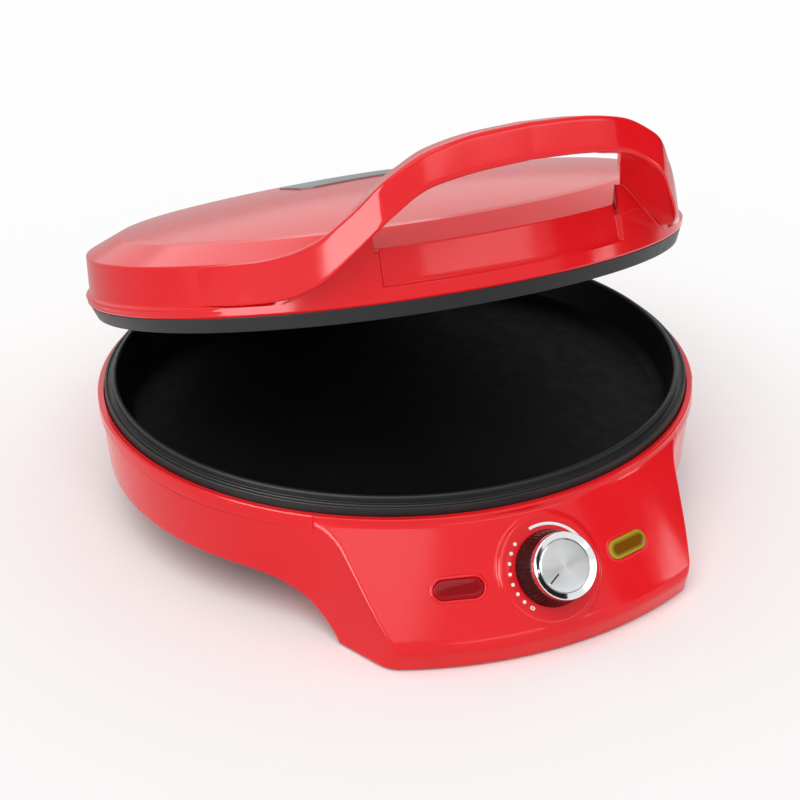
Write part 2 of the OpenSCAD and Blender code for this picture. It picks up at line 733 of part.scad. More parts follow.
// die-cast arms that bolt to the back of the lid and turn on the pin
module hinge_arms() {
  top = rim_z + crease_z - 1.5;
  color([0.3, 0.3, 0.31]) opened() for (s = [-1, 1]) difference() {
    translate([s * (arm_in + arm_out) / 2, 0, 0]) slab(arm_w) {
      translate([hinge_y, axis_z]) circle(knuckle_r);
      polygon([[wall_top_r - 9, rim_z + flange_z + 1], [wall_top_r - 9, top], [wall_top_r + 2, top],
        [wall_top_r + 6, top - 1.5], [hinge_y + knuckle_r - 0.5, axis_z + 3],
        [hinge_y - knuckle_r + 0.6, axis_z + 3], [flange_r + 4, rim_z + 8], [flange_r, rim_z + 14]]);
    }
    lid_outer(fit);
    translate([0, hinge_y, axis_z]) x_rod(pin_r + pin_gap, -arm_out - 5, arm_out + 5);
    arm_holes(s);
  }
}
// screw holes through an arm and the lid's wall, with sunk seats in the arm
module arm_holes(s) {
  for (z = arm_screw_z) translate([s * (arm_in + arm_out) / 2, wall_top_r + 19, z]) rotate([90, 0, 0]) {
    cylinder(r = screw_r, h = 32, $fn = small_fn);
    cylinder(r = head_r + 0.3, h = 14, $fn = small_fn);
  }
}
module hinge_screws() {
  color(zinc) opened() for (s = [-1, 1], z = arm_screw_z)
    translate([s * (arm_in + arm_out) / 2, wall_top_r + 5, z]) rotate([90, 0, 0]) screw(14.5);
}

// dome height above the seam at radius r
function dome(r) = bevel_z + crown_h * (1 - pow(r / bevel_r, 2));
// outside of the lid, grown by g
module lid_outer(g) {
  translate([0, 0, rim_z]) rotate_extrude() polygon(concat([[0, up_top_z], [up_top_r + g, up_top_z],
    [flange_r + g, up_top_z + 0.9], [flange_r + g, flange_z - 0.8], [flange_r + g - 0.8, flange_z + g],
    [wall_low_r + g, flange_z + 0.4 + g], [wall_top_r + g, crease_z]],
    [for (i = [0:14]) let(r = bevel_r * (1 - i / 14)) [r, dome(r) + g]]));
}
// hollow of the lid
module lid_inner() {
  translate([0, 0, rim_z]) rotate_extrude() polygon(concat([[0, up_top_z - 1],
    [up_top_r - wall, up_top_z - 1], [up_top_r - wall, flange_z - 1], [wall_low_r - wall, flange_z + 1],
    [wall_top_r - wall, crease_z - 0.7 * wall]],
    [for (i = [0:14]) let(r = (bevel_r - 0.4 * wall) * (1 - i / 14)) [r, dome(r) - wall]]));
}
// shallow panel across the front of the lid's wall
module dent() {
  translate([0, 0, rim_z + flange_z + 3]) rotate([0, 0, -90 - dent_a]) rotate_extrude(angle = 2 * dent_a)
    translate([wall_top_r - front_dent, 0]) square([10, wall_h - 5]);
}
module lid_shell() {
  color(red) opened() difference() {
    union() {
      difference() {
        lid_outer(0);
        lid_inner();
      }
      for (a = post_a) at_angle(post_at, a, rim_z + plate_z + plate_t + fit / 2)
        cylinder(r = post_r, h = bevel_z - plate_z - plate_t - 3, $fn = small_fn);
    }
    for (a = post_a) at_angle(post_at, a, rim_z) cylinder(r = screw_r, h = plate_z + 18, $fn = small_fn);
    for (s = [-1, 1]) arm_holes(s);
    handle_holes();
    dent();
  }
}
// plain grey plate on the crown of the lid
module lid_badge() {
  x = 36;
  y = 23;
  c = 6;
  color([0.45, 0.46, 0.47]) opened() intersection() {
    translate([0, 0, rim_z]) rotate_extrude() polygon(concat(
      [for (i = [0:10]) [i * 9, dome(i * 9) + fit / 4]],
      [for (i = [10:-1:0]) [i * 9, dome(i * 9) + badge_t]]));
    translate([0, badge_y, 0]) linear_extrude(300) polygon([[c - x, -y], [x - c, -y], [x, c - y],
      [x, y - c], [x - c, y], [c - x, y], [-x, y - c], [-x, c - y]]);
  }
}
// cast upper plate with its rim, shield posts and screw holes
module upper_plate() {
  top = up_top_z - fit / 2;
  back = plate_z + plate_t;
  color(coated) opened() difference() {
    union() {
      translate([0, 0, rim_z]) rotate_extrude() polygon([[0, plate_z], [nest_r - 6.9, plate_z],
        [nest_r, plate_z - 0.8], [nest_r, up_low_z + 0.5], [nest_r + 0.5, up_low_z],
        [up_low_r - 0.6, up_low_z], [up_low_r, up_low_z + 0.6], [up_top_r, top],
        [up_top_r - wall - 1.5, top], [up_top_r - wall - 2.5, back], [0, back]]);
      for (a = [0, 120, 240]) at_angle(up_post_at, a, plate_top - 0.5)
        cylinder(r = 4, h = up_shield_z - plate_top + 0.5 - fit / 2, $fn = small_fn);
    }
    for (a = [0, 120, 240]) at_angle(up_post_at, a, plate_top) cylinder(r = screw_r, h = 20, $fn = small_fn);
    for (a = clamp_a, y = [-1, 1]) at_angle(element_r + y * clamp_hole, a, plate_top - thread - 0.2)
      cylinder(r = screw_r, h = thread + 2, $fn = small_fn);
    for (a = post_a) at_angle(post_at, a, rim_z + plate_z - 1) {
      cylinder(r = head_r + fit, h = head_h + 1.1, $fn = small_fn);
      cylinder(r = screw_r + fit / 2, h = plate_t + 2, $fn = small_fn);
    }
  }
}
module plate_screws() {
  color(zinc) opened() for (a = post_a) at_angle(post_at, a, rim_z + plate_z + head_h + 0.1) screw(12);
}
module upper_element() {
  color([0.45, 0.42, 0.4]) opened() loop(plate_top + tube_r + fit, 1);
}
module upper_clamps() {
  color(zinc) opened() clamps(plate_top + fit / 2, 1);
}
module upper_clamp_screws() {
  color(zinc) opened() clamp_screws(plate_top, 1);
}
module upper_reflector() {
  color(bright) opened() difference() {
    shield(up_shield_r, up_shield_z, 2);
    for (a = [0, 120, 240]) at_angle(up_post_at, a, up_shield_z - 1)
      cylinder(r = screw_r + fit, h = 5, $fn = small_fn);
  }
}
module upper_shield_screws() {
  color(zinc) opened() for (a = [0, 120, 240]) at_angle(up_post_at, a, up_shield_z + sheet)
    mirror([0, 0, 1]) screw(sheet + 6);
}

// slight droop of the bar away from its centre
function droop(a) = pow(a / 13.4, 2) * (1 - ease(a, 8, 30));
// outer radius, top and underside of the handle at angle a from the front
function bar_out(a) = let(e = wall_low_r + 2)
  e + (bar_r + shoulder - e) * (1 - ease(a, 16, arm_a - 1)) - shoulder * (1 - ease(a, 0, 16));
function bar_top(a) = crease_z + bar_rise * (1 - ease(a, 8, 39)) - droop(a);
function bar_low(a) = let(e = flange_z + 0.9) e + (bar_z - bar_h - e) * (1 - ease(a, 8, 40)) - droop(a);
// rear surface: a free bar in the middle, then back to the lid's wall
function bar_in(a) = let(e = wall_low_r + fit) e + (bar_r - bar_d - e) * (1 - ease(a, 17, 29));
// six corners of a section, front half for h = 1 and rear half for h = 0
function bar_cut(a, h) = let(o = bar_out(a), i = bar_in(a), m = i + min(back_t, 0.4 * (o - i)),
    r0 = h == 1 ? m + fit / 2 : i, r1 = h == 1 ? o : m - fit / 2,
    z0 = bar_low(a), z1 = bar_top(a), c = min(1.6, 0.3 * (r1 - r0)))
  h == 1 ? [[r0, z0], [r1 - c, z0], [r1, z0 + c], [r1, z1 - c], [r1 - c, z1], [r0, z1]]
         : [[r0 + c, z0], [r1, z0], [r1, z1], [r0 + c, z1], [r0, z1 - c], [r0, z0 + c]];
// one half of the handle, swept round the front of the lid
module bar(h) {
  pts = [for (k = [0:bar_n]) let(s = -arm_a + 2 * arm_a * k / bar_n) for (q = bar_cut(abs(s), h))
    around(q[0], s, rim_z + q[1])];
  sides = [for (k = [0:bar_n - 1], j = [0:5])
    [k * 6 + j, k * 6 + (j + 1) % 6, (k + 1) * 6 + (j + 1) % 6, (k + 1) * 6 + j]];
  polyhedron(pts, concat(sides, [[5, 4, 3, 2, 1, 0]], [[for (j = [0:5]) bar_n * 6 + j]]), convexity = 6);
}
// holes of the two handle screws
module handle_holes() {
  for (s = [-1, 1]) rotate([0, 0, s * handle_a]) translate([0, 0, rim_z + handle_z]) rotate([90, 0, 0])
    translate([0, 0, wall_top_r - 11]) cylinder(r = screw_r + fit / 4, h = 19, $fn = small_fn);
}
module handle_outer() {
  color([0.88, 0.09, 0.11]) opened() difference() {
    bar(1);
    handle_holes();
  }
}
module handle_inner() {
  color([0.82, 0.07, 0.09]) opened() difference() {
    bar(0);
    handle_holes();
  }
}
module handle_screws() {
  color(zinc) opened() for (s = [-1, 1]) rotate([0, 0, s * handle_a]) translate([0, 0, rim_z + handle_z])
    rotate([90, 0, 0]) translate([0, 0, wall_low_r - wall - 0.9]) screw(8);
}

base_shell();
front_housing();
bottom_cover();
cover_screws();
rubber_feet();
lower_plate();
lower_element();
lower_clamps();
lower_clamp_screws();
lower_reflector();
lower_shield_screws();
thermostat();
control_shaft();
thermal_fuse();
terminal_block();
wiring();
dial_marks();
knob_skirt();
knob_ring();
knob_cap();
knob_pointer();
power_lens();
ready_lens();
lamp_holders();
cord_gland();
hinge_pin();
hinge_washers();
hinge_arms();
hinge_screws();
lid_shell();
lid_badge();
upper_plate();
upper_element();
upper_clamps();
upper_clamp_screws();
upper_reflector();
upper_shield_screws();
plate_screws();
handle_outer();
handle_inner();
handle_screws();
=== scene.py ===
# Electric pizza maker, dressed for rendering: red shells, coated plates, spun knob, lamps and hinge.
import math

import bmesh
import bpy
import numpy as np
from mathutils import Matrix, Vector


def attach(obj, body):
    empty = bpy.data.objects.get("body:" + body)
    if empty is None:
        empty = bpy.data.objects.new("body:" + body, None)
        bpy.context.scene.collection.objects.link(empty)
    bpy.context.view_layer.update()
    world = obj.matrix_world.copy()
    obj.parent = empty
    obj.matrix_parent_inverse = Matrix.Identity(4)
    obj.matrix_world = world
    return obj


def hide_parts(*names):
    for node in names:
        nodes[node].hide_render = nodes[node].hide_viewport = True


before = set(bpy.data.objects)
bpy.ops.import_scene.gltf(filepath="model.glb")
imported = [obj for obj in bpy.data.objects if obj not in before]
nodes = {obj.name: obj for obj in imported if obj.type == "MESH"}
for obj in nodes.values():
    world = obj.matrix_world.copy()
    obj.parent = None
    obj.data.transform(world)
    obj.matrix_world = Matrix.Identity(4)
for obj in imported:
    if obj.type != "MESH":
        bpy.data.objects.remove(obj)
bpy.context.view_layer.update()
mm = 0.001

# sizes shared by several pieces, in millimetres: heights named "Z" are above the seam, lid closed
body = {
    "rimZ": 67.3, "footH": 1.2, "panR": 162.0, "lipR": 166.0, "drumH": 39.5, "taper": 2.5, "step": 1.2,
    "panelR": 182.9, "panelK": 0.684, "dialDrop": 28.0, "creaseDrop": 54.0, "frontR": 196.5,
    "hingeY": 176.6, "axisZ": 64.0, "lidAjar": 16.77, "wallLowR": 162.2, "wallTopR": 161.0,
    "flangeZ": 18.0, "creaseZ": 38.0, "bevelR": 141.5, "bevelZ": 46.0, "crownH": 10.0, "wall": 2.6,
}
tilt = math.atan(body["panelK"])


def ease(v, a, b):
    # smooth step from 0 to 1 as v goes from a to b
    u = np.clip((v - a) / (b - a), 0, 1)
    return u * u * (3 - 2 * u)


def softMin(a, b, k):
    # the smaller of two fields, rounded over a band k wide where they cross
    h = np.maximum(k - np.abs(a - b), 0)
    return np.minimum(a, b) - h * h / (4 * k)


def softMax(a, b, k):
    # the larger of two fields, rounded in the same way
    return -softMin(-a, -b, k)


def throughPoints(x, xs, ys):
    # a smooth curve through the points (xs, ys): cubic pieces whose slopes never overshoot
    xs, ys = np.asarray(xs, float), np.asarray(ys, float)
    step = np.diff(xs)
    slope = np.diff(ys) / step
    m = np.zeros(len(xs))
    same = slope[:-1] * slope[1:] > 0
    m[1:-1] = np.where(same, 2 * slope[:-1] * slope[1:] / np.where(same, slope[:-1] + slope[1:], 1), 0)
    m[0], m[-1] = slope[0], slope[-1]
    x = np.clip(x, xs[0], xs[-1])
    i = np.clip(np.searchsorted(xs, x) - 1, 0, len(xs) - 2)
    t = (x - xs[i]) / step[i]
    return ((1 + 2 * t) * (1 - t) ** 2 * ys[i] + t * (1 - t) ** 2 * step[i] * m[i]
            + t * t * (3 - 2 * t) * ys[i + 1] + t * t * (t - 1) * step[i] * m[i + 1])


def roundedLine(corners, closed=False, steps=5, hold=3):
    # a polyline whose corners (a, b, radius) become short curves, with holding points along the straights
    pts = np.array([c[:2] for c in corners], float)
    rad = np.array([c[2] for c in corners], float)
    n = len(pts)
    out = []
    for i in range(n):
        prev, here, after = pts[i - 1], pts[i], pts[(i + 1) % n]
        if not closed and i in (0, n - 1) or rad[i] <= 0:
            out.append(here[None])
            continue
        a, b = prev - here, after - here
        la, lb = np.linalg.norm(a), np.linalg.norm(b)
        half = 0.5 * math.acos(np.clip(a @ b / (la * lb), -1, 1))
        cut = min(rad[i] / max(math.tan(half), 1e-6), 0.45 * la, 0.45 * lb)
        p, q = here + a / la * cut, here + b / lb * cut
        t = np.linspace(0, 1, steps + 1)[:, None]
        out.append((1 - t) ** 2 * p + 2 * t * (1 - t) * here + t * t * q)
    full = []
    for i, arc in enumerate(out):
        full.append(arc)
        if i == n - 1 and not closed:
            break
        p, q = arc[-1], out[(i + 1) % n][0]
        length = np.linalg.norm(q - p)
        if length > 1.2:
            near = min(0.45, 0.5 / length)
            t = np.array([near, *np.linspace(near, 1 - near, hold)[1:-1], 1 - near])[:, None]
            full.append(p + (q - p) * t)
    return np.concatenate(full)


def opened(p):
    # a closed-lid point turned back about the hinge axis by the rest angle
    a = math.radians(body["lidAjar"])
    y, z = p[..., 1] - body["hingeY"], p[..., 2] - body["axisZ"]
    return np.stack([p[..., 0], body["hingeY"] + y * math.cos(a) + z * math.sin(a),
                     body["axisZ"] - y * math.sin(a) + z * math.cos(a)], -1)


def polar(r, a, z):
    # radius r at angle a degrees from the front, height z above the seam
    r, a, z = np.broadcast_arrays(r, np.radians(a), z)
    return np.stack([r * np.sin(a), -r * np.cos(a), z + body["rimZ"]], -1)


def gridNormals(p, wrapU, wrapV):
    # cross product of the central differences along both directions of the grid
    def slope(q, axis, wrap):
        # the next point less the one before, carried round the end where the grid is closed
        if wrap:
            return np.roll(q, -1, axis) - np.roll(q, 1, axis)
        return np.gradient(q, axis=axis)
    n = np.cross(slope(p, 0, wrapU), slope(p, 1, wrapV))
    return n / np.maximum(np.linalg.norm(n, axis=-1, keepdims=True), 1e-12)


def gridPiece(name, p, mat, bodyName, wrapU=False, wrapV=False, capU=False, flip=None, normals=None,
              replaces=()):
    # a surface over a grid of points (u, v) in millimetres: neighbours are joined by four-sided faces
    nu, nv = p.shape[:2]
    index = np.arange(nu * nv).reshape(nu, nv)
    cu = np.concatenate([index, index[:1]], 0) if wrapU else index
    cv = np.concatenate([cu, cu[:, :1]], 1) if wrapV else cu
    quads = np.stack([cv[:-1, :-1], cv[1:, :-1], cv[1:, 1:], cv[:-1, 1:]], -1).reshape(-1, 4)
    co = p.reshape(-1, 3) * mm
    if flip is None:
        a, b, c, d = (co[quads[:, k]] - co.mean(0) for k in range(4))
        flip = np.sum(np.cross(c - a, d - b) * (a + b + c + d)) < 0
    if flip:
        quads = quads[:, ::-1]
    faces = quads.tolist()
    if capU and not wrapU:
        ends = [index[0].tolist(), index[-1][::-1].tolist()]
        faces += [e[::-1] for e in ends] if flip else ends
    mesh = bpy.data.meshes.new(name)
    mesh.from_pydata(co, [], faces)
    mesh.update()
    if normals is None:
        bm = bmesh.new()
        bm.from_mesh(mesh)
        bmesh.ops.remove_doubles(bm, verts=bm.verts, dist=1e-7)
        bmesh.ops.dissolve_degenerate(bm, edges=bm.edges, dist=1e-8)
        bm.to_mesh(mesh)
        bm.free()
    mesh.polygons.foreach_set("use_smooth", np.ones(len(mesh.polygons), bool))
    if capU and not wrapU and normals is not None:
        mesh.polygons[-1].use_smooth = mesh.polygons[-2].use_smooth = False
    if normals is not None:
        n = normals.reshape(-1, 3) * (-1 if flip else 1)
        mesh.normals_split_custom_set_from_vertices(n.tolist())
    return finishPiece(name, mesh, mat, bodyName, replaces)


def finishPiece(name, mesh, mat, bodyName, replaces):
    # a mesh made a piece: its material, the body it rides on and the nodes it stands for, which are hidden
    mesh.materials.append(mat)
    piece = bpy.data.objects.new(name, mesh)
    bpy.context.scene.collection.objects.link(piece)
    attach(piece, bodyName)
    if replaces:
        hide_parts(*replaces)
    return piece


def turned(profile):
    # a profile of (radius, height) carried round the vertical axis, one column to a degree
    a = np.linspace(0, 360, 360, endpoint=False)
    return polar(profile[None, :, 0], a[:, None], profile[None, :, 1])


def crossSlab(outline, x0, x1, edge, centre):
    # a closed (y, z) outline carried along x, shrinking to its centre on a quarter circle at both ends
    reach = np.abs(outline - centre).max(0)
    t = np.linspace(0, np.pi / 2, 6)
    inset = np.array([2.6 * edge, *(edge * (1 - np.sin(t)))])
    along = np.array([0, *(edge * (1 - np.cos(t)))])
    x = np.concatenate([x0 + along, (x1 - along)[::-1]])
    inset = np.concatenate([inset, inset[::-1]])
    flat = centre + (outline - centre)[None] * (1 - inset[:, None, None] / reach)
    return np.concatenate([np.broadcast_to(x[:, None, None], (*flat.shape[:2], 1)), flat], -1)


def writeUV(piece, layer, place, rule):
    # a UV layer worked out from each vertex's own x and y in the frame of a place on the panel
    mesh = piece.data
    co = np.empty(len(mesh.vertices) * 3)
    mesh.vertices.foreach_get("co", co)
    rel = co.reshape(-1, 3) / mm - place[0]
    uv = np.stack(rule(rel @ place[1], rel @ place[2]), -1)
    corner = np.empty(len(mesh.loops), int)
    mesh.loops.foreach_get("vertex_index", corner)
    mesh.uv_layers.new(name=layer).data.foreach_set("uv", uv[corner].ravel())


def panelFrame(angle, drop):
    # centre and axes of a place on the panel cone, at an angle from the front and a depth below the seam:
    # x across, y up the panel, z out of it
    r = body["panelR"] + body["panelK"] * (drop - body["dialDrop"])
    a = math.radians(angle)
    out = np.array([math.sin(a), -math.cos(a), 0])
    up = np.array([0, 0, 1.0])
    centre = out * r + up * (body["rimZ"] - drop)
    xAxis = np.array([math.cos(a), math.sin(a), 0])
    normal = out * math.cos(tilt) + up * math.sin(tilt)
    return centre, xAxis, np.cross(normal, xAxis), normal


def inFrame(place, x, y, z):
    # the centre of a place plus x, y and z along its own axes
    centre, ax, ay, az = place
    x, y, z = np.broadcast_arrays(x, y, z)
    return centre + x[..., None] * ax + y[..., None] * ay + z[..., None] * az


def coneLift(place, x, y):
    # height of the panel cone above the flat plane of a place on it, found by repeated correction
    w = np.zeros(np.broadcast(x, y).shape)
    for _ in range(6):
        p = inFrame(place, x, y, w)
        r = np.hypot(p[..., 0], p[..., 1])
        cone = body["panelR"] + body["panelK"] * (body["rimZ"] - p[..., 2] - body["dialDrop"])
        w = w - (r - cone) / (math.cos(tilt) + body["panelK"] * math.sin(tilt))
    return w


def newMaterial(name, **inputs):
    # a material whose shader sockets are set by name, with _ for a space
    mat = bpy.data.materials.new(name)
    mat.use_nodes = True
    shader = mat.node_tree.nodes["Principled BSDF"]
    for key, value in inputs.items():
        shader.inputs[key.replace("_", " ")].default_value = value
    return mat, mat.node_tree, shader


def noiseNode(tree, scale, detail):
    # noise over Object coordinates: scale is how many waves there are to a metre, detail the finer layers on them
    coords = tree.nodes.new("ShaderNodeTexCoord")
    noise = tree.nodes.new("ShaderNodeTexNoise")
    noise.inputs["Scale"].default_value = scale
    noise.inputs["Detail"].default_value = detail
    noise.inputs["Roughness"].default_value = 0.5
    tree.links.new(coords.outputs["Object"], noise.inputs["Vector"])
    return noise.outputs["Fac"]


def mapped(tree, value, low, high):
    # the middle of the noise, 0.3 to 0.7, spread evenly from low to high
    node = tree.nodes.new("ShaderNodeMapRange")
    node.inputs["From Min"].default_value = 0.3
    node.inputs["From Max"].default_value = 0.7
    node.inputs["To Min"].default_value = low
    node.inputs["To Max"].default_value = high
    tree.links.new(value, node.inputs["Value"])
    return node.outputs["Result"]


def twoColours(tree, value, first, second):
    # the first colour below 0.35, the second above 0.65, and an even blend between them
    ramp = tree.nodes.new("ShaderNodeValToRGB")
    ramp.color_ramp.elements[0].position = 0.35
    ramp.color_ramp.elements[0].color = (*first, 1)
    ramp.color_ramp.elements[1].position = 0.65
    ramp.color_ramp.elements[1].color = (*second, 1)
    tree.links.new(value, ramp.inputs["Fac"])
    return ramp.outputs["Color"]


def bumped(tree, shader, value, strength, distance):
    # the shading normal tilts as if the value raised the surface, by up to distance in metres
    bump = tree.nodes.new("ShaderNodeBump")
    bump.inputs["Strength"].default_value = strength
    bump.inputs["Distance"].default_value = distance
    tree.links.new(value, bump.inputs["Height"])
    tree.links.new(bump.outputs["Normal"], shader.inputs["Normal"])


def plastic(name, dark, light, rough, spread, grain=900.0, grainDepth=0.00002, level=0.5):
    # moulded plastic: faint colour drift, fine surface grain, and a gloss that varies a little
    mat, tree, shader = newMaterial(name, IOR=1.45, Specular_IOR_Level=level)
    tree.links.new(twoColours(tree, noiseNode(tree, 14, 2), dark, light), shader.inputs["Base Color"])
    tree.links.new(mapped(tree, noiseNode(tree, 160, 4), rough, rough + spread), shader.inputs["Roughness"])
    bumped(tree, shader, noiseNode(tree, grain, 2), 0.25, grainDepth)
    return mat


def metal(name, dark, light, rough, spread, grain=700.0, grainDepth=0.00002):
    # bare metal: its colour and its gloss drift a little, over a fine grain
    mat, tree, shader = newMaterial(name, Metallic=1.0)
    tree.links.new(twoColours(tree, noiseNode(tree, 30, 3), dark, light), shader.inputs["Base Color"])
    tree.links.new(mapped(tree, noiseNode(tree, 220, 4), rough, rough + spread), shader.inputs["Roughness"])
    bumped(tree, shader, noiseNode(tree, grain, 3), 0.3, grainDepth)
    return mat


def spunMetal(name, dark, light, rough, layer, spread):
    # metal turned on a lathe: the highlight is drawn out along the radius, which is u of the piece's UV layer
    mat = metal(name, dark, light, rough, 0.05)
    tree = mat.node_tree
    shader = tree.nodes["Principled BSDF"]
    shader.inputs["Anisotropic"].default_value = spread
    tangent = tree.nodes.new("ShaderNodeTangent")
    tangent.direction_type = "UV_MAP"
    tangent.uv_map = layer
    tree.links.new(tangent.outputs["Tangent"], shader.inputs["Tangent"])
    return mat


def lensWithPaintedRimLight(name, edge, middle, layer):
    # tinted window: u of the UV layer runs from 0 on the centre line to 1 at the edge and picks the colour; the
    # colour at the edge is a lighter painted glow, standing in for light caught in the lens's rim
    mat = plastic(name, middle, middle, 0.05, 0.03, grain=500.0, grainDepth=0.00001, level=0.12)
    tree = mat.node_tree
    shader = tree.nodes["Principled BSDF"]
    uv = tree.nodes.new("ShaderNodeUVMap")
    uv.uv_map = layer
    parts = tree.nodes.new("ShaderNodeSeparateXYZ")
    tree.links.new(uv.outputs["UV"], parts.inputs["Vector"])
    # the edge colour is painted light: a lighter rim that stands in for light caught in the lens's edge, not a
    # tint of the lens
    ramp = twoColours(tree, parts.outputs["X"], middle, edge)
    ramp.node.color_ramp.elements[0].position = 0.45
    ramp.node.color_ramp.elements[1].position = 0.98
    tree.links.new(ramp, shader.inputs["Base Color"])
    return mat


redShell = plastic("glossRedPlastic", (0.74, 0.008, 0.013), (0.79, 0.011, 0.017), 0.12, 0.05, level=0.34)
redHandle = plastic("glossRedHandle", (0.75, 0.008, 0.013), (0.80, 0.011, 0.017), 0.09, 0.04, level=0.36)
darkPlastic = plastic("darkMouldedPlastic", (0.016, 0.016, 0.017), (0.024, 0.024, 0.025), 0.42, 0.12, 1400,
                      0.00004)
footRubber = plastic("footRubber", (0.012, 0.012, 0.012), (0.02, 0.02, 0.02), 0.7, 0.15, 1800, 0.00008)
coating = plastic("satinNonstickCoating", (0.013, 0.013, 0.0135), (0.019, 0.019, 0.0195), 0.36, 0.10, 2600,
                  0.00003, level=0.34)
# the pan's inside: a darker, duller copy of the coating, painted shade standing in for the lid's shadow in the
# pan
paintedShadeCoat = plastic("panInsidePaintedShade", (0.003, 0.003, 0.003), (0.005, 0.005, 0.005), 0.5, 0.12, 2600, 0.00003,
                     level=0.12)
skirtRed = plastic("ribbedDarkRed", (0.012, 0.002, 0.002), (0.022, 0.003, 0.003), 0.20, 0.08, level=0.3)
knobChrome = metal("polishedChrome", (0.74, 0.75, 0.76), (0.80, 0.81, 0.82), 0.07, 0.04, grain=900,
                   grainDepth=0.000002)
knobFace = spunMetal("spunKnobFace", (0.50, 0.505, 0.515), (0.53, 0.535, 0.54), 0.22, "spun", 0.88)
# each lens's first colour is its painted light-catching rim, the second its tint in the middle
lensRed = lensWithPaintedRimLight("redLens", (0.36, 0.006, 0.012), (0.25, 0.001, 0.004), "window")
lensAmber = lensWithPaintedRimLight("amberLens", (0.45, 0.40, 0.03), (0.18, 0.065, 0.004), "window")
printWhite = plastic("printedWhiteInk", (0.86, 0.86, 0.86), (0.93, 0.93, 0.93), 0.5, 0.1, 2500, 0.00001)
ceramicWhite = plastic("whiteCeramic", (0.62, 0.61, 0.57), (0.74, 0.73, 0.69), 0.35, 0.15, 1200, 0.00003)
pointerInk = plastic("pointerBlack", (0.006, 0.006, 0.007), (0.012, 0.012, 0.013), 0.4, 0.1, 2500, 0.00001)
badgeGrey = plastic("badgeGrey", (0.16, 0.165, 0.17), (0.22, 0.225, 0.23), 0.38, 0.12, 1900, 0.00005)
wireSleeve = plastic("wovenSleeve", (0.45, 0.43, 0.38), (0.62, 0.60, 0.54), 0.75, 0.15, 2200, 0.0001)
zincSteel = metal("zincPlatedSteel", (0.50, 0.50, 0.51), (0.66, 0.66, 0.68), 0.28, 0.14)
brightSheet = metal("brightSheet", (0.66, 0.67, 0.68), (0.76, 0.77, 0.78), 0.20, 0.12)
elementSteel = metal("heaterTubeSteel", (0.15, 0.13, 0.12), (0.26, 0.22, 0.19), 0.40, 0.18)
hingeMetal = metal("hingeCasting", (0.055, 0.056, 0.06), (0.085, 0.086, 0.09), 0.38, 0.15, grain=1500,
                   grainDepth=0.00006)
print("materials made")

# base: drum, pedestal and panel in one surface
base = {
    "lipH": 7.5, "seamA": 38.3, "pedW": 85.5, "pedCorner": 14.3, "flare": 0.40, "lean": 0.13, "leanDrop": 40.0,
    "archY": 146.0, "archL": 50.0, "sideBlend": 9.0, "creaseRound": 1.3, "frontRound": 5.0, "cornerRound": 6.0,
    "coverR": 146.0, "coverFront": 92.0, "coverBack": 130.0, "coverLip": 2.5,
}


def archHeight(y):
    # underside behind the pedestal: a quarter sine wave in y, steep at the table and level at the drum
    low, high = body["footH"], body["rimZ"] - body["drumH"]
    u = np.clip((y + base["archY"]) / base["archL"], 0, 1)
    return low + (high - low) * np.sin(0.5 * np.pi * u) ** 0.75


def drumRadius(d, a):
    # lip, a small step under it that fades towards the seam, then a taper; d is the depth below the seam
    fade = ease(np.abs(a), 39.5, 46)
    step = body["step"] * ease(d, base["lipH"] - 0.3, base["lipH"] + 1.2) * fade
    groove = 0.35 * np.exp(-((d - base["lipH"] - 1.0) / 0.5) ** 2) * fade
    tuck = body["step"] * (1 - fade) * ease(d, 2, 30)
    return body["lipR"] - step - groove - tuck - body["taper"] * np.clip(d - 9, 0, 40) / 30.5


def coneRadius(d):
    # the panel's cone: its radius grows evenly with the depth below the seam
    return body["panelR"] + body["panelK"] * (d - body["dialDrop"])


def sideRadius(d, a):
    # flank of the pedestal, a nearly radial plane written in polar form, leaning in towards the top
    t = np.radians(np.minimum(np.abs(a), 75))
    lean = base["lean"] * np.log1p(np.exp((base["leanDrop"] - d) / 4)) * 4
    plane = base["pedW"] - lean + base["flare"] * (body["panR"] + base["pedCorner"])
    return plane / (np.sin(t) + base["flare"] * np.cos(t))


def wallRadius(d, a):
    # drum blended into the flank, cut by the panel cone and by the band that tucks in under the panel
    drum = drumRadius(d, a)
    flank = softMax(drum, sideRadius(d, a), base["sideBlend"])
    under = body["frontR"] + 0.34 * (body["rimZ"] - body["footH"] - d)
    front = softMin(coneRadius(d), under, base["frontRound"])
    lower = softMin(flank, under, base["cornerRound"])
    r = softMin(softMax(drum, front, 1.0), lower, base["creaseRound"])
    return np.where(np.abs(a) < 60, r, drum)


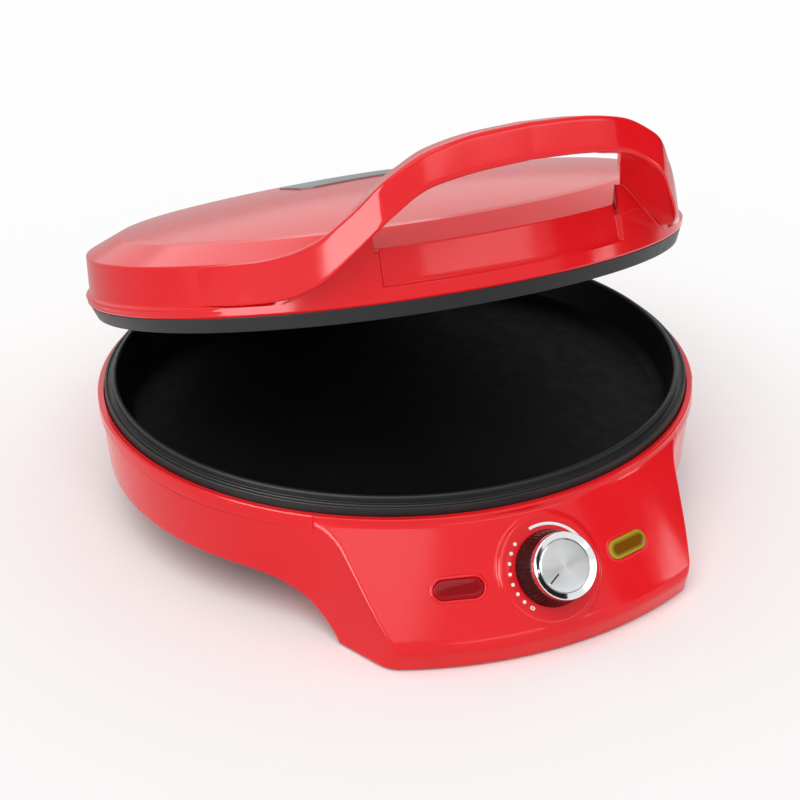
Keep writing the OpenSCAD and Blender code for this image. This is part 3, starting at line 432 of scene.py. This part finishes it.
def baseSurface(a):
    # closed section at each angle: seat, lip, wall, lower edge, underside to the cover, and back inside
    a = a[:, None]
    edgeR = wallRadius(np.full_like(a, 52.0), a)
    for _ in range(4):
        zLow = archHeight(-edgeR * np.cos(np.radians(a)))
        dLow = body["rimZ"] - zLow
        edgeR = wallRadius(dLow, a)
    t = np.radians(np.abs(a))
    plane = base["pedW"] + base["flare"] * (body["panR"] + base["pedCorner"])
    # depth at which the panel meets the flank, so that one row of the grid follows the crease
    slope = np.sin(t) + base["flare"] * np.cos(t)
    cut = (plane / np.maximum(slope, 0.3) - body["panelR"]) / body["panelK"] + body["dialDrop"]
    crease = np.clip(softMin(cut, np.full_like(cut, body["creaseDrop"]), 6), 13, dLow - 4)
    s = np.linspace(0, 1, 46)[None, 1:]
    upper = np.linspace(1.0, 11.0, 22)[None] + 0 * a
    middle = 11 + (crease - 11) * (1 - (1 - s) ** 1.7)
    lower = crease + (dLow - 1.0 - crease) * np.linspace(0, 1, 34)[None, 1:] ** 1.35
    d = np.concatenate([upper, middle, lower], 1)
    r = wallRadius(d, a)
    seat, inner = body["panR"] - 4.5, body["panR"] + 0.4
    topR = wallRadius(np.full_like(a, 1.0), a)
    one = np.ones_like(a)

    def row(rr, dd):
        # one point of the section at every angle: a radius and a depth below the seam
        return np.stack([rr * one, dd * one], -1)
    head = np.concatenate([row(seat, 6), row(seat, 3), row(inner, 3), row(inner, 0.5), row(inner + 0.15, 0.12),
                           row(inner + 0.5, 0.0), row(topR - 1.1, 0.0), row(topR - 0.62, 0.06),
                           row(topR - 0.2, 0.35)], 1)
    endR = r[:, -1:]
    bottom = np.concatenate([row(endR - 0.12, dLow - 0.45), row(endR - 0.4, dLow - 0.12),
                             row(endR - 0.9, dLow)], 1)
    # opening for the bottom cover: a circle with its front and back cut straight
    c = np.cos(np.radians(a))
    openR = np.minimum(base["coverR"], np.where(c > 0, base["coverFront"], base["coverBack"])
                       / np.maximum(np.abs(c), 1e-3))
    inward = (endR - 0.9) + (openR - endR + 0.9) * np.linspace(0, 1, 31)[None, 1:]
    inwardZ = archHeight(-inward * c)
    drumSide = np.abs(a) > 90
    inwardZ = np.where(drumSide, body["rimZ"] - body["drumH"], inwardZ)
    under = np.stack([inward, body["rimZ"] - inwardZ], -1)
    lipIn = openR - base["coverLip"]
    rise = np.concatenate([row(openR, under[:, -1:, 1] - 1.3), row(lipIn, under[:, -1:, 1] - 1.3),
                           row(lipIn, under[:, -1:, 1] - body["wall"])], 1)
    backR = under[:, ::-3, 0] - 1.0
    backZ = under[:, ::-3, 1] - body["wall"]
    inside = np.stack([np.minimum(backR, endR - body["wall"] - 1.5), backZ], -1)
    wallIn = np.stack([r[:, ::-9] - body["wall"], np.minimum(d[:, ::-9], dLow - body["wall"] - 1)], -1)
    wallIn = wallIn[wallIn[..., 1] > -1].reshape(len(a), -1, 2)[:, :-1]
    section = np.concatenate([head, np.stack([r, d], -1), bottom, under, rise, inside, wallIn], 1)
    section[:, -2:, 1] = np.maximum(section[:, -2:, 1], 9)
    return polar(section[..., 0], a, -section[..., 1])


def frontAngles():
    # columns: close together over the pedestal, and closest where the seam's short groove is cut
    half = np.concatenate([np.linspace(0, 22, 78)[:-1], np.linspace(22, 37.9, 84)[:-1],
                           np.linspace(37.9, base["seamA"], 8)])
    return np.concatenate([-half[:0:-1], half])


front = frontAngles()
rear = np.concatenate([np.linspace(base["seamA"], 38.7, 8)[:-1], np.linspace(38.7, 56, 60)[:-1],
                       np.linspace(56, 180, 90)])
rear = np.concatenate([rear, 360 - rear[-2::-1]])
ring = np.concatenate([front[:-1], rear[:-1]])
ringShort = np.where(ring > 180, ring - 360, ring)
skin = baseSurface(ringShort)
# short open seam: the wall sinks a little at the seam's angle, from the lip down, and fades
depth = body["rimZ"] - skin[..., 2]
radius = np.hypot(skin[..., 0], skin[..., 1])
outer = (radius > body["lipR"] - 4.2) & (depth < 20)
nearSeam = np.exp(-((np.abs(ringShort)[:, None] - base["seamA"]) / 0.09) ** 2)
notch = 0.55 * nearSeam * (1 - ease(depth, 6, 11)) * outer
skin[..., :2] *= ((radius - notch) / radius)[..., None]
skinNormal = gridNormals(skin, True, True)
# the dial and the lamps sit in dips: the skin under them is drawn back along the panel's normal
dips = [(panelFrame(0, body["dialDrop"]), 0.0, 29.0), (panelFrame(-14.85, 29.6), 7.5, 6.6),
        (panelFrame(14.85, 29.6), 7.5, 6.6)]
frontSkin, frontNormal = skin[:len(front)].copy(), skinNormal[:len(front)]
for place, half, reach in dips:
    rel = frontSkin - place[0]
    x, y, z = rel @ place[1], rel @ place[2], rel @ place[3]
    away = np.hypot(np.maximum(np.abs(x) - half, 0), y)
    sink = 3.6 * (1 - ease(away, reach - 1.5, reach)) * (np.abs(z) < 4)
    frontSkin -= sink[..., None] * place[3]
rows = np.concatenate([np.arange(len(front) - 1, len(ring)), [0]])
gridPiece("frontHousingSkin", frontSkin, redShell, "base", wrapV=True, capU=True, normals=frontNormal,
          replaces=["front_housing"])
gridPiece("baseShellSkin", skin[rows], redShell, "base", wrapV=True, capU=True, normals=skinNormal[rows],
          replaces=["base_shell"])
print("base shell and front housing made")

# block behind the drum, and the two ears on it that carry the hinge pin
block = {"half": 66.0, "edge": 3.4, "centre": (165, 26),
         "earIn": 48.2, "earOut": 57.2, "earR": 8.5, "earEdge": 1.1}
blockLine = roundedLine([
    (120, 27.8, 0), (138, 26.8, 3), (148, 18, 8), (152, 1.2, 1.2), (201.8, 1.2, 3), (205.8, 7.2, 5),
    (205.8, 40.3, 8), (198.8, 48.3, 6), (120, 48.3, 0)], closed=True)
gridPiece("rearBlockSkin", crossSlab(blockLine, -block["half"], block["half"], block["edge"], block["centre"]),
          redShell, "base", wrapV=True, capU=True, replaces=["base_shell"])
t = np.radians(np.linspace(150, -8, 24))
knuckle = np.stack([body["hingeY"] + block["earR"] * np.cos(t), body["axisZ"] + block["earR"] * np.sin(t)], -1)
earFoot = roundedLine([(196.6, 46, 0), (158, 46, 0), (158, 62.5, 4), (167.5, 67.0, 0)])
earLine = np.concatenate([earFoot, knuckle])
for name, x0, x1 in (("hingeEarLeft", -block["earOut"], -block["earIn"]),
                     ("hingeEarRight", block["earIn"], block["earOut"])):
    gridPiece(name, crossSlab(earLine, x0, x1, block["earEdge"], (176.6, 58)), redShell, "base", wrapV=True,
              capU=True, replaces=["base_shell"])
print("rear block and ears made")


def outlineRing(place, half, radius, rings, count=180):
    # rings of a pill or circle: each row is (offset from the outline, depth below the panel cone)
    t = np.linspace(0, 2 * np.pi, count, endpoint=False)
    cx, cy = np.cos(t), np.sin(t)
    shift = np.clip(cx * 40, -1, 1) * half
    out = []
    for offset, drop in rings:
        x, y = shift + cx * (radius + offset), cy * (radius + offset)
        out.append(inFrame(place, x, y, coneLift(place, x, y) - drop))
    return np.stack(out)


# raised dial: radii with the share of its rise reached there, out of the panel cone up to the flat face
dial = {"rise": 0.8, "foot": 29.2, "hole": 4.5, "depth": -2.5,
        "radii": (28.5, 28.1, 27.8, 27.5, 27.1, 26.7, 26.2, 25.6, 25),
        "share": (0.0, 0.05, 0.2, 0.42, 0.64, 0.8, 0.92, 0.98, 1.0), "face": (24, 20, 12, 5.2, 4.5)}
place = panelFrame(0, body["dialDrop"])
turn = np.linspace(0, 2 * np.pi, 240, endpoint=False)
dialR = np.array([dial["foot"], *dial["radii"], *dial["face"], dial["hole"]])[:, None]
dialX, dialY = dialR * np.cos(turn), dialR * np.sin(turn)
cone = coneLift(place, dialX, dialY)
share = np.array([0, *dial["share"], *[1] * len(dial["face"]), 1])[:, None]
dialZ = cone + share * (dial["rise"] - cone)
dialZ[0] -= 0.25
dialZ[-1] = dial["depth"]
gridPiece("dialDisc", inFrame(place, dialX, dialY, dialZ), redShell, "base", wrapV=True, flip=True,
          replaces=["front_housing"])
print("dial made")

# knob, in the dial's frame: (radius, height) rows of the ribbed skirt, the bright ring and the spun face
knob = {
    "ribs": 48, "ribDepth": 0.42,
    "skirt": [(0, 14.0), (16.2, 14.0), (16.75, 13.9), (16.95, 13.5), (17.3, 11.8), (17.95, 8.6), (18.7, 4.6),
              (19.15, 2.4), (19.2, 1.6), (18.9, 1.25), (17.4, 1.25), (14.6, 12.4), (0, 12.4)],
    "ring": [(16.2, 14.05), (16.62, 14.1), (16.75, 14.3), (16.74, 15.4), (16.66, 16.8), (16.56, 17.7),
             (16.5, 18.1), (16.4, 18.32), (16.2, 18.45), (16.05, 18.45), (15.92, 18.36), (15.4, 18.17),
             (14.7, 17.92), (14.0, 17.66), (13.5, 17.48), (13.14, 17.4), (13.14, 14.05)],
    "face": [(0, 17.85), (0.4, 17.85), (4, 17.85), (8, 17.85), (12.3, 17.85), (12.8, 17.8), (13.02, 17.6),
             (13.06, 17.2), (13.06, 15.6), (0, 15.6)],
}


def knobTurned(rows, count, ribs=0.0):
    # rows of (radius, height) carried round the knob's axis; ribs cut the outer wall on a raised cosine
    q = np.linspace(0, 2 * np.pi, count, endpoint=False)
    r, z = np.array(rows, float)[:, :1], np.array(rows, float)[:, 1:]
    outer = (r > 16.8) & (z > 1.3) & (z < 13.8)
    r = r - ribs * outer * (0.5 + 0.5 * np.cos(knob["ribs"] * q)) ** 2
    return inFrame(place, r * np.cos(q), r * np.sin(q), z)


gridPiece("knobSkirt", knobTurned(knob["skirt"], 12 * knob["ribs"], knob["ribDepth"]), skirtRed, "knob",
          wrapV=True, replaces=["knob_skirt"])
gridPiece("knobRing", knobTurned(knob["ring"], 180), knobChrome, "knob", wrapU=True, wrapV=True,
          replaces=["knob_ring"])
face = gridPiece("knobFace", knobTurned(knob["face"], 180), knobFace, "knob", wrapV=True,
                 replaces=["knob_cap"])
writeUV(face, "spun", place, lambda x, y: (np.hypot(x, y) / 14, np.arctan2(y, x) / 6.3 + 0.5))
print("knob made")

# lamps: a rounded seat round each slot, and a domed lens in it, as (offset from the outline, depth) rows
lamp = {
    "half": 7.5, "radius": 5.0, "drop": 29.6, "angle": 14.85,
    "seat": [(1.8, 0.3), (1.45, 0.02), (1.05, -0.14), (0.7, -0.18), (0.4, -0.12), (0.2, 0.08), (0.1, 0.5),
             (0.08, 3)],
    "lens": [(-5.0, 3.5), (0.05, 3.5), (-0.02, 0.45), (-0.1, 0.12), (-0.35, -0.12), (-0.9, -0.36),
             (-1.7, -0.54), (-2.8, -0.66), (-4.0, -0.72), (-5.0, -0.74)],
}
for name, sign, mat, node, slot in (("powerLens", -1, lensRed, "power_lens", "lens_red"),
                                    ("readyLens", 1, lensAmber, "ready_lens", "lens_amber")):
    spot = panelFrame(sign * lamp["angle"], lamp["drop"])
    gridPiece(name + "Seat", outlineRing(spot, lamp["half"], lamp["radius"], lamp["seat"]), redShell, "base",
              wrapV=True, flip=True, replaces=["front_housing"])
    lens = gridPiece(name, outlineRing(spot, lamp["half"], lamp["radius"], lamp["lens"]), mat, "base",
                     wrapV=True, replaces=[node])
    writeUV(lens, "window", spot, lambda x, y: (
        np.hypot(np.maximum(np.abs(x) - lamp["half"], 0), y) / lamp["radius"], x / 30 + 0.5))
print("lamps made")

# a dark skin laid just over the coating inside the pan: painted shade where the lid's shadow falls, not a second
# finish
plate = {"inside": [(0, -13.94, 0), (147, -13.94, 5), (150.95, -10.94, 4), (154.9, 7.2, 0.3), (155.2, 7.0, 0.1),
                    (152, -12, 0), (147, -14.4, 0), (0, -14.4, 0)]}
gridPiece("panCoatingSkin", turned(roundedLine(plate["inside"])), paintedShadeCoat, "base", wrapU=True,
          replaces=["lower_plate"])
pan = roundedLine([
    (0, -14, 0), (147, -14, 5), (151, -11, 4), (155, 7.4, 0.8), (155.8, 8.2, 0.6), (157.1, 8.2, 0.6),
    (157.8, 7.6, 0.6), (157.8, 4.4, 0.35), (159.3, 4.4, 0.3), (159.7, 3.8, 0.25), (160.3, 3.8, 0.25),
    (160.7, 4.4, 0.3), (162, 4.4, 0.7), (162, -2.9, 0.3), (156, -2.9, 1), (152.5, -7, 1), (149, -16.4, 1),
    (147, -17.4, 1), (0, -17.4, 0)])
gridPiece("lowerPlateSkin", turned(pan), coating, "base", wrapU=True, replaces=["lower_plate"])
upper = roundedLine([
    (0, 9.6, 0), (151.5, 9.6, 1.2), (158.4, 8.8, 0.8), (158.4, 5.0, 0.4), (158.8, 4.7, 0.2), (160.0, 4.7, 0.7),
    (163.1, 12.35, 0.3), (158.6, 12.35, 0.6), (158, 13, 0.6), (0, 13, 0)])
gridPiece("upperPlateSkin", opened(turned(upper)), coating, "lid", wrapU=True, replaces=["upper_plate"])
print("plates made")

lid = {"flangeR": 164.0, "beadEnd": 50.5, "dentLeft": -22.5, "dentRight": 23.5, "frontEnd": 41.0,
       "wallZ": (19.2, 19.6, 19.9, 20.1, 20.4, 20.9, 23, 26, 29, 32, 35, 36.2),
       "cheekA": (23.5, 25.5, 29.2, 31.0), "cheekTop": (48.0, 47.0, 37.9, 36.7),
       "ridgeA": (24.5, 25.5, 29.2, 33.2, 36.7, 40.0), "ridgeZ": (48.3, 46.7, 37.7, 28.4, 20.9, 17.5),
       "ridgeR": 0.75}


def lidWallRadius(z):
    # the wall narrows evenly from the flange to the crease
    u = (z - body["flangeZ"]) / (body["creaseZ"] - body["flangeZ"])
    return body["wallLowR"] + (body["wallTopR"] - body["wallLowR"]) * u


def lidSurface(a):
    # outside from rim to crown, then the inside back; between the handle's arms the wall stands out flush
    # with the flange, but for the panel in its middle
    crown = np.linspace(1, 0, 34)
    domeR = body["bevelR"] * crown ** 0.9
    domeZ = body["bevelZ"] + body["crownH"] * (1 - (domeR / body["bevelR"]) ** 2)
    wallZ = np.array(lid["wallZ"])
    wall = np.concatenate([roundedLine([
        (160.4, 12.4, 0), (162.9, 12.4, 0.3), (164.0, 13.4, 0.7), (164.0, 17.4, 0.6), (163.2, 18.1, 0.4),
        (162.3, 18.3, 0.3), (162.16, 18.7, 0)]), np.stack([lidWallRadius(wallZ), wallZ], -1), roundedLine([
            (161.06, 36.9, 0), (161.0, 38, 1.2), (142.8, 45.6, 4.0), (139.0, 46.36, 0)], hold=6, steps=7)])
    domeKeep = domeR < 138.0
    outside = np.concatenate([wall, np.stack([domeR, domeZ], -1)[domeKeep]])
    inside = np.array([[0, 53.4], [60, 51.6], [110, 47.3], [139.5, 43.0], [157.5, 36.2], [158.6, 20],
                       [159.6, 17]])
    profile = np.concatenate([outside, inside])
    a = a[:, None]
    r, z = profile[None, :, 0] + 0 * a, profile[None, :, 1] + 0 * a
    isOut = (np.arange(len(profile)) < len(wall))[None] & (z > 12.6)
    between = (ease(a, lid["dentLeft"] - 0.5, lid["dentLeft"])
               * (1 - ease(a, lid["dentRight"], lid["dentRight"] + 0.5)))
    proud = (1 - ease(np.abs(a), lid["frontEnd"], lid["frontEnd"] + 1)) * (1 - between * ease(z, 19.9, 20.5))
    r = r + (lid["flangeR"] - r) * proud * (1 - ease(z, 36.6, 37.9)) * (z > 17) * isOut
    # bead along the flange's top, which stops short of the front
    bead = 0.45 * np.exp(-((z - 16.4) / 0.7) ** 2) * ease(np.abs(a), lid["beadEnd"], lid["beadEnd"] + 2.5)
    r = r + bead * isOut
    return opened(polar(r, a, z))


# closer columns where the wall steps out, and where the bead begins
fine = [np.linspace(-23.1, -22.4, 8), np.linspace(23.4, 24.1, 8), np.linspace(41, 42, 5),
        np.linspace(-42, -41, 5)]
lidAngles = np.unique(np.concatenate([np.linspace(-180, 180, 361)[:-1], *fine, np.linspace(48, 55, 15),
                                      np.linspace(-55, -48, 15)]))
gridPiece("lidShellSkin", lidSurface(lidAngles), redShell, "lid", wrapU=True, wrapV=False,
          replaces=["lid_shell"])


def cheekSection(a):
    # web between the lid's wall and the underside of each arm: a closed section whose top falls with the
    # angle, and whose foot stays within the wall's thickness
    top = throughPoints(np.abs(a), lid["cheekA"], lid["cheekTop"])[:, None]
    one = np.ones_like(top)
    r = np.array([163.8, *[164.02] * 5, 163.9, 163.5, 162.9, 161.0, 160.0, 158.4, 158.2, 158.4]) * one
    foot = np.array([33.0, 33.0, 33.1, 34.5]) * one
    crest = top - np.array([2.0, 0.9, 0.35, 0.05, 0.0])
    back = np.minimum(np.array([39.5, 38.0, 37.2]), top - np.array([0.1, 0.2, 0.4]))
    z = np.concatenate([foot, crest, back, 34.0 * one, 33.0 * one], 1)
    return opened(polar(r, a[:, None], z))


def ridgeTube(sign):
    # rounded ridge where each arm grows out of the wall: a thin ring swept along a falling diagonal
    a = np.linspace(lid["ridgeA"][0], lid["ridgeA"][-1], 48)[:, None]
    q = np.linspace(0, 2 * np.pi, 12, endpoint=False)
    thin = lid["ridgeR"] * (0.25 + 0.75 * np.minimum(1, np.minimum(a - a[0], a[-1] - a) / 1.2))
    z = throughPoints(a, lid["ridgeA"], lid["ridgeZ"]) + thin * np.sin(q)
    return opened(polar(163.9 + thin * np.cos(q), sign * a, z))


for name, sign in (("Left", -1), ("Right", 1)):
    cheek = cheekSection(sign * np.linspace(lid["cheekA"][0], lid["cheekA"][-1], 24))
    gridPiece("lidCheek" + name, cheek, redShell, "lid", wrapV=True, capU=True,
              normals=gridNormals(cheek, False, True), replaces=["lid_shell"])
    gridPiece("lidRidge" + name, ridgeTube(sign), redShell, "lid", wrapV=True, capU=True,
              replaces=["lid_shell"])
print("lid made")

handle = {
    "angle": [0, 7, 14, 20, 26, 32, 38, 44, 50, 54, 58],
    "outer": [195.9, 197.1, 200.0, 199.6, 191, 181.5, 172.6, 167.4, 164.3, 162.3, 160.9],
    "topAngle": [0, 7, 14, 20, 26, 32, 38, 44, 50, 58],
    "top": [88.5, 87.5, 83.6, 73.9, 58.3, 46.5, 41.0, 38.6, 38.0, 37.6],
    "lowAngle": [0, 7, 14, 20, 26, 32, 38, 44, 50, 58],
    "low": [71.3, 70.2, 67.0, 55.5, 39.5, 26.0, 20.5, 18.8, 18.5, 18.5],
    "riseAngle": [0, 14, 16, 18, 20, 22, 24, 26, 30, 34, 38, 58],
    "rise": [0, 0, 4, 11.5, 10.5, 8.3, 6.6, 6.2, 5.8, 3.8, 0, 0],
    "backAngle": [0, 15, 18, 20, 22, 24, 26, 28, 58],
    "back": [182, 182, 181.5, 176.8, 171, 165.9, 161.6, 160.5, 160.5],
    "reach": 57.5, "split": 5.0, "round": 1.5, "chamfer": 3.0,
}


def handleSection(a, part):
    # closed section at each angle: outer face with rounded edges, top, back face and underside
    s = np.abs(a)[:, None]
    out = throughPoints(s, handle["angle"], handle["outer"])
    top = throughPoints(s, handle["topAngle"], handle["top"])
    low = throughPoints(s, handle["lowAngle"], handle["low"])
    back = throughPoints(s, handle["backAngle"], handle["back"])
    back = np.minimum(back, out - 3)
    mid = back + np.minimum(handle["split"], 0.4 * (out - back))
    r0, r1 = (mid + 0.04, out) if part == "outer" else (back, mid - 0.04)
    c = np.minimum(handle["round"], 0.25 * (r1 - r0))
    k = np.minimum(handle["chamfer"], 0.3 * (r1 - r0)) if part == "outer" else c
    q = np.linspace(0, np.pi / 2, 6)[None]

    def arc(cr, cz, rr, rz, start):
        # a quarter of an ellipse about (cr, cz), beginning at the angle start
        return np.stack([cr + rr * np.cos(q + start), cz + rz * np.sin(q + start)], -1)

    def run(ra, za, rb, zb, n):
        # n points spaced evenly between two ends, without the ends
        u = np.linspace(0, 1, n + 2)[None, 1:-1]
        return np.stack([ra + (rb - ra) * u, za + (zb - za) * u], -1)
    tiny = 0.35 + 0 * s
    if part == "outer":
        pts = [arc(r1 - c, top - c, c, c, 0), run(r1 - c, top, r0 + tiny, top, 6),
               arc(r0 + tiny, top - tiny, tiny, tiny, np.pi / 2), run(r0, top - tiny, r0, low + tiny, 6),
               arc(r0 + tiny, low + tiny, tiny, tiny, np.pi), run(r0 + tiny, low, r1 - k, low, 6),
               arc(r1 - k, low + 0.8 * k, k, 0.8 * k, -np.pi / 2), run(r1, low + 0.8 * k, r1, top - c, 12)]
    else:
        pts = [arc(r1 - tiny, top - tiny, tiny, tiny, 0), run(r1 - tiny, top, r0 + c, top, 6),
               arc(r0 + c, top - c, c, c, np.pi / 2), run(r0, top - c, r0, low + c, 8),
               arc(r0 + c, low + c, c, c, np.pi), run(r0 + c, low, r1 - tiny, low, 6),
               arc(r1 - tiny, low + tiny, tiny, tiny, -np.pi / 2), run(r1, low + tiny, r1, top - tiny, 8)]
    section = np.concatenate([np.broadcast_to(p, (len(a), *p.shape[1:])) for p in pts], 1)
    # the arms' underside rises inwards, by a share that fades out at the top
    rise = throughPoints(s, handle["riseAngle"], handle["rise"])
    z = section[..., 1]
    inwards = np.clip((out - section[..., 0]) / np.maximum(out - 164, 1), 0, 1)
    z = z + rise * inwards * (top - z) / (top - low)
    # towards the ends the outer face takes the lid wall's own slope
    lean = ease(s, 40, handle["reach"])
    follow = (lidWallRadius(z) - lidWallRadius(28)) * lean
    return opened(polar(section[..., 0] + follow, a[:, None], z))


handleAngles = np.linspace(-handle["reach"], handle["reach"], 300)
gridPiece("handleFront", handleSection(handleAngles, "outer"), redHandle, "lid", wrapV=True, capU=True,
          replaces=["handle_outer"])
gridPiece("handleBack", handleSection(handleAngles, "inner"), redHandle, "lid", wrapV=True, capU=True,
          replaces=["handle_inner"])
print("handle made")

# plain finishes for the CAD pieces that stay
finishes = {
    "bottom_cover": darkPlastic, "cover_screws": zincSteel, "rubber_feet": footRubber,
    "lower_element": elementSteel, "lower_clamps": zincSteel, "lower_clamp_screws": zincSteel,
    "lower_reflector": brightSheet, "lower_shield_screws": zincSteel, "thermostat": brightSheet,
    "control_shaft": zincSteel, "thermal_fuse": ceramicWhite, "terminal_block": ceramicWhite,
    "wiring": wireSleeve, "dial_marks": printWhite, "knob_pointer": pointerInk, "lamp_holders": ceramicWhite,
    "cord_gland": darkPlastic, "hinge_pin": zincSteel, "hinge_washers": brightSheet,
    "hinge_arms": hingeMetal, "hinge_screws": zincSteel, "lid_badge": badgeGrey,
    "upper_element": elementSteel, "upper_clamps": zincSteel, "upper_clamp_screws": zincSteel,
    "upper_reflector": brightSheet, "upper_shield_screws": zincSteel, "plate_screws": zincSteel,
    "handle_screws": zincSteel,
}
for name, mat in finishes.items():
    mesh = nodes[name].data
    mesh.materials.clear()
    mesh.materials.append(mat)
print("finishes assigned to the kept nodes")

# floor, light and camera
floorMesh = bpy.data.meshes.new("floor")
floorMesh.from_pydata([(-6, -6, 0), (6, -6, 0), (6, 6, 0), (-6, 6, 0)], [], [(0, 1, 2, 3)])
floor = bpy.data.objects.new("floor", floorMesh)
bpy.context.scene.collection.objects.link(floor)
floorMat, _, shader = newMaterial("paleFloor", Roughness=0.9, Specular_IOR_Level=0.0)
shader.inputs["Base Color"].default_value = (0.97, 0.97, 0.97, 1)
floorMesh.materials.append(floorMat)

world = bpy.data.worlds.new("studio")
bpy.context.scene.world = world
world.use_nodes = True
wt = world.node_tree
background = wt.nodes["Background"]
background.inputs["Color"].default_value = (1, 1, 1, 1)
# the world is white where it is seen directly, through glass or in a reflection, and dimmer as a light
path = wt.nodes.new("ShaderNodeLightPath")
value = path.outputs["Is Camera Ray"]
for kind in ("Is Transmission Ray", "Is Glossy Ray"):
    larger = wt.nodes.new("ShaderNodeMath")
    larger.operation = "MAXIMUM"
    wt.links.new(value, larger.inputs[0])
    wt.links.new(path.outputs[kind], larger.inputs[1])
    value = larger.outputs[0]
level = wt.nodes.new("ShaderNodeMapRange")
level.inputs["To Min"].default_value = 0.66
level.inputs["To Max"].default_value = 1.0
wt.links.new(value, level.inputs["Value"])
wt.links.new(level.outputs["Result"], background.inputs["Strength"])


def addSun(name, direction, strength, angle):
    # a sun that shines along a direction, as wide in the sky as the angle in degrees
    light = bpy.data.lights.new(name, "SUN")
    light.energy = strength
    light.angle = math.radians(angle)
    sun = bpy.data.objects.new(name, light)
    sun.rotation_euler = Vector(direction).to_track_quat("-Z", "Y").to_euler()
    bpy.context.scene.collection.objects.link(sun)


def addPanel(name, azimuth, elevation, distance, size, radiance):
    # a lit panel seen only in reflections, at a direction and distance from the lid, facing it
    a, e = math.radians(azimuth), math.radians(elevation)
    centre = Vector((0, 0, 0.1))
    spot = centre + Vector((math.sin(a) * math.cos(e), -math.cos(a) * math.cos(e), math.sin(e))) * distance
    light = bpy.data.lights.new(name, "AREA")
    light.shape = "RECTANGLE"
    light.size, light.size_y = size
    light.energy = 4 * radiance * size[0] * size[1]
    panel = bpy.data.objects.new(name, light)
    panel.location = spot
    panel.rotation_euler = (centre - spot).to_track_quat("-Z", "Y").to_euler()
    panel.visible_diffuse = panel.visible_camera = panel.visible_transmission = False
    bpy.context.scene.collection.objects.link(panel)


def addCard(name, corners, grey):
    # a flat grey card through four corners, seen only in reflections
    mesh = bpy.data.meshes.new(name)
    mesh.from_pydata(corners, [], [(0, 1, 2, 3)])
    mat, _, shader = newMaterial(name, Roughness=1.0, Specular_IOR_Level=0.0)
    shader.inputs["Base Color"].default_value = (grey, grey, grey, 1)
    mesh.materials.append(mat)
    card = bpy.data.objects.new(name, mesh)
    card.visible_camera = card.visible_diffuse = card.visible_shadow = card.visible_transmission = False
    bpy.context.scene.collection.objects.link(card)


addSun("keySun", (0.35, 0.55, -1.0), 1.35, 50)
addPanel("leftStrip", -68, 14, 0.75, (0.38, 0.46), 8)
addPanel("frontBox", 13, 15.5, 5.33, (4.1, 0.45), 2.8)
addPanel("rightStrip", 56, 1, 0.7, (0.12, 0.14), 4)
addPanel("rearBox", 180, 28, 1.2, (1.0, 0.5), 0.8)
addCard("darkCard", [(0.72, -0.86, 0.01), (0.96, 0.257, 0.01), (0.96, 0.257, 1.2), (0.72, -0.86, 1.2)], 0.02)
addCard("rearCard", [(-2, 0.24, 0.004), (2, 0.24, 0.004), (2, 2.6, 0.004), (-2, 2.6, 0.004)], 0.52)

shot = {"azimuth": -24.054, "elevation": 26.47, "distance": 1.0433, "roll": -0.831, "lens": 83.34,
        "centre": (394.9, 367.2), "width": 800}
az, el = math.radians(shot["azimuth"]), math.radians(shot["elevation"])
aim = Vector((0, 0, body["rimZ"] * mm))
offset = Vector((math.sin(az) * math.cos(el), -math.cos(az) * math.cos(el), math.sin(el)))
back = offset.normalized()
right = Vector((0, 0, 1)).cross(back).normalized()
up = back.cross(right)
c, s = math.cos(math.radians(shot["roll"])), math.sin(math.radians(shot["roll"]))
right2, up2 = c * right + s * up, c * up - s * right
camera = bpy.data.objects.new("camera", bpy.data.cameras.new("camera"))
bpy.context.scene.collection.objects.link(camera)
camera.matrix_world = Matrix.Translation(aim + offset * shot["distance"]) @ Matrix(
    (right2, up2, back)).transposed().to_4x4()
camera.data.sensor_width = 36
camera.data.lens = shot["lens"]
camera.data.shift_x = (shot["width"] / 2 - shot["centre"][0]) / shot["width"]
camera.data.shift_y = (shot["centre"][1] - shot["width"] / 2) / shot["width"]
bpy.context.scene.camera = camera
bpy.context.scene.view_settings.view_transform = "Standard"
print("stage, light and camera set")
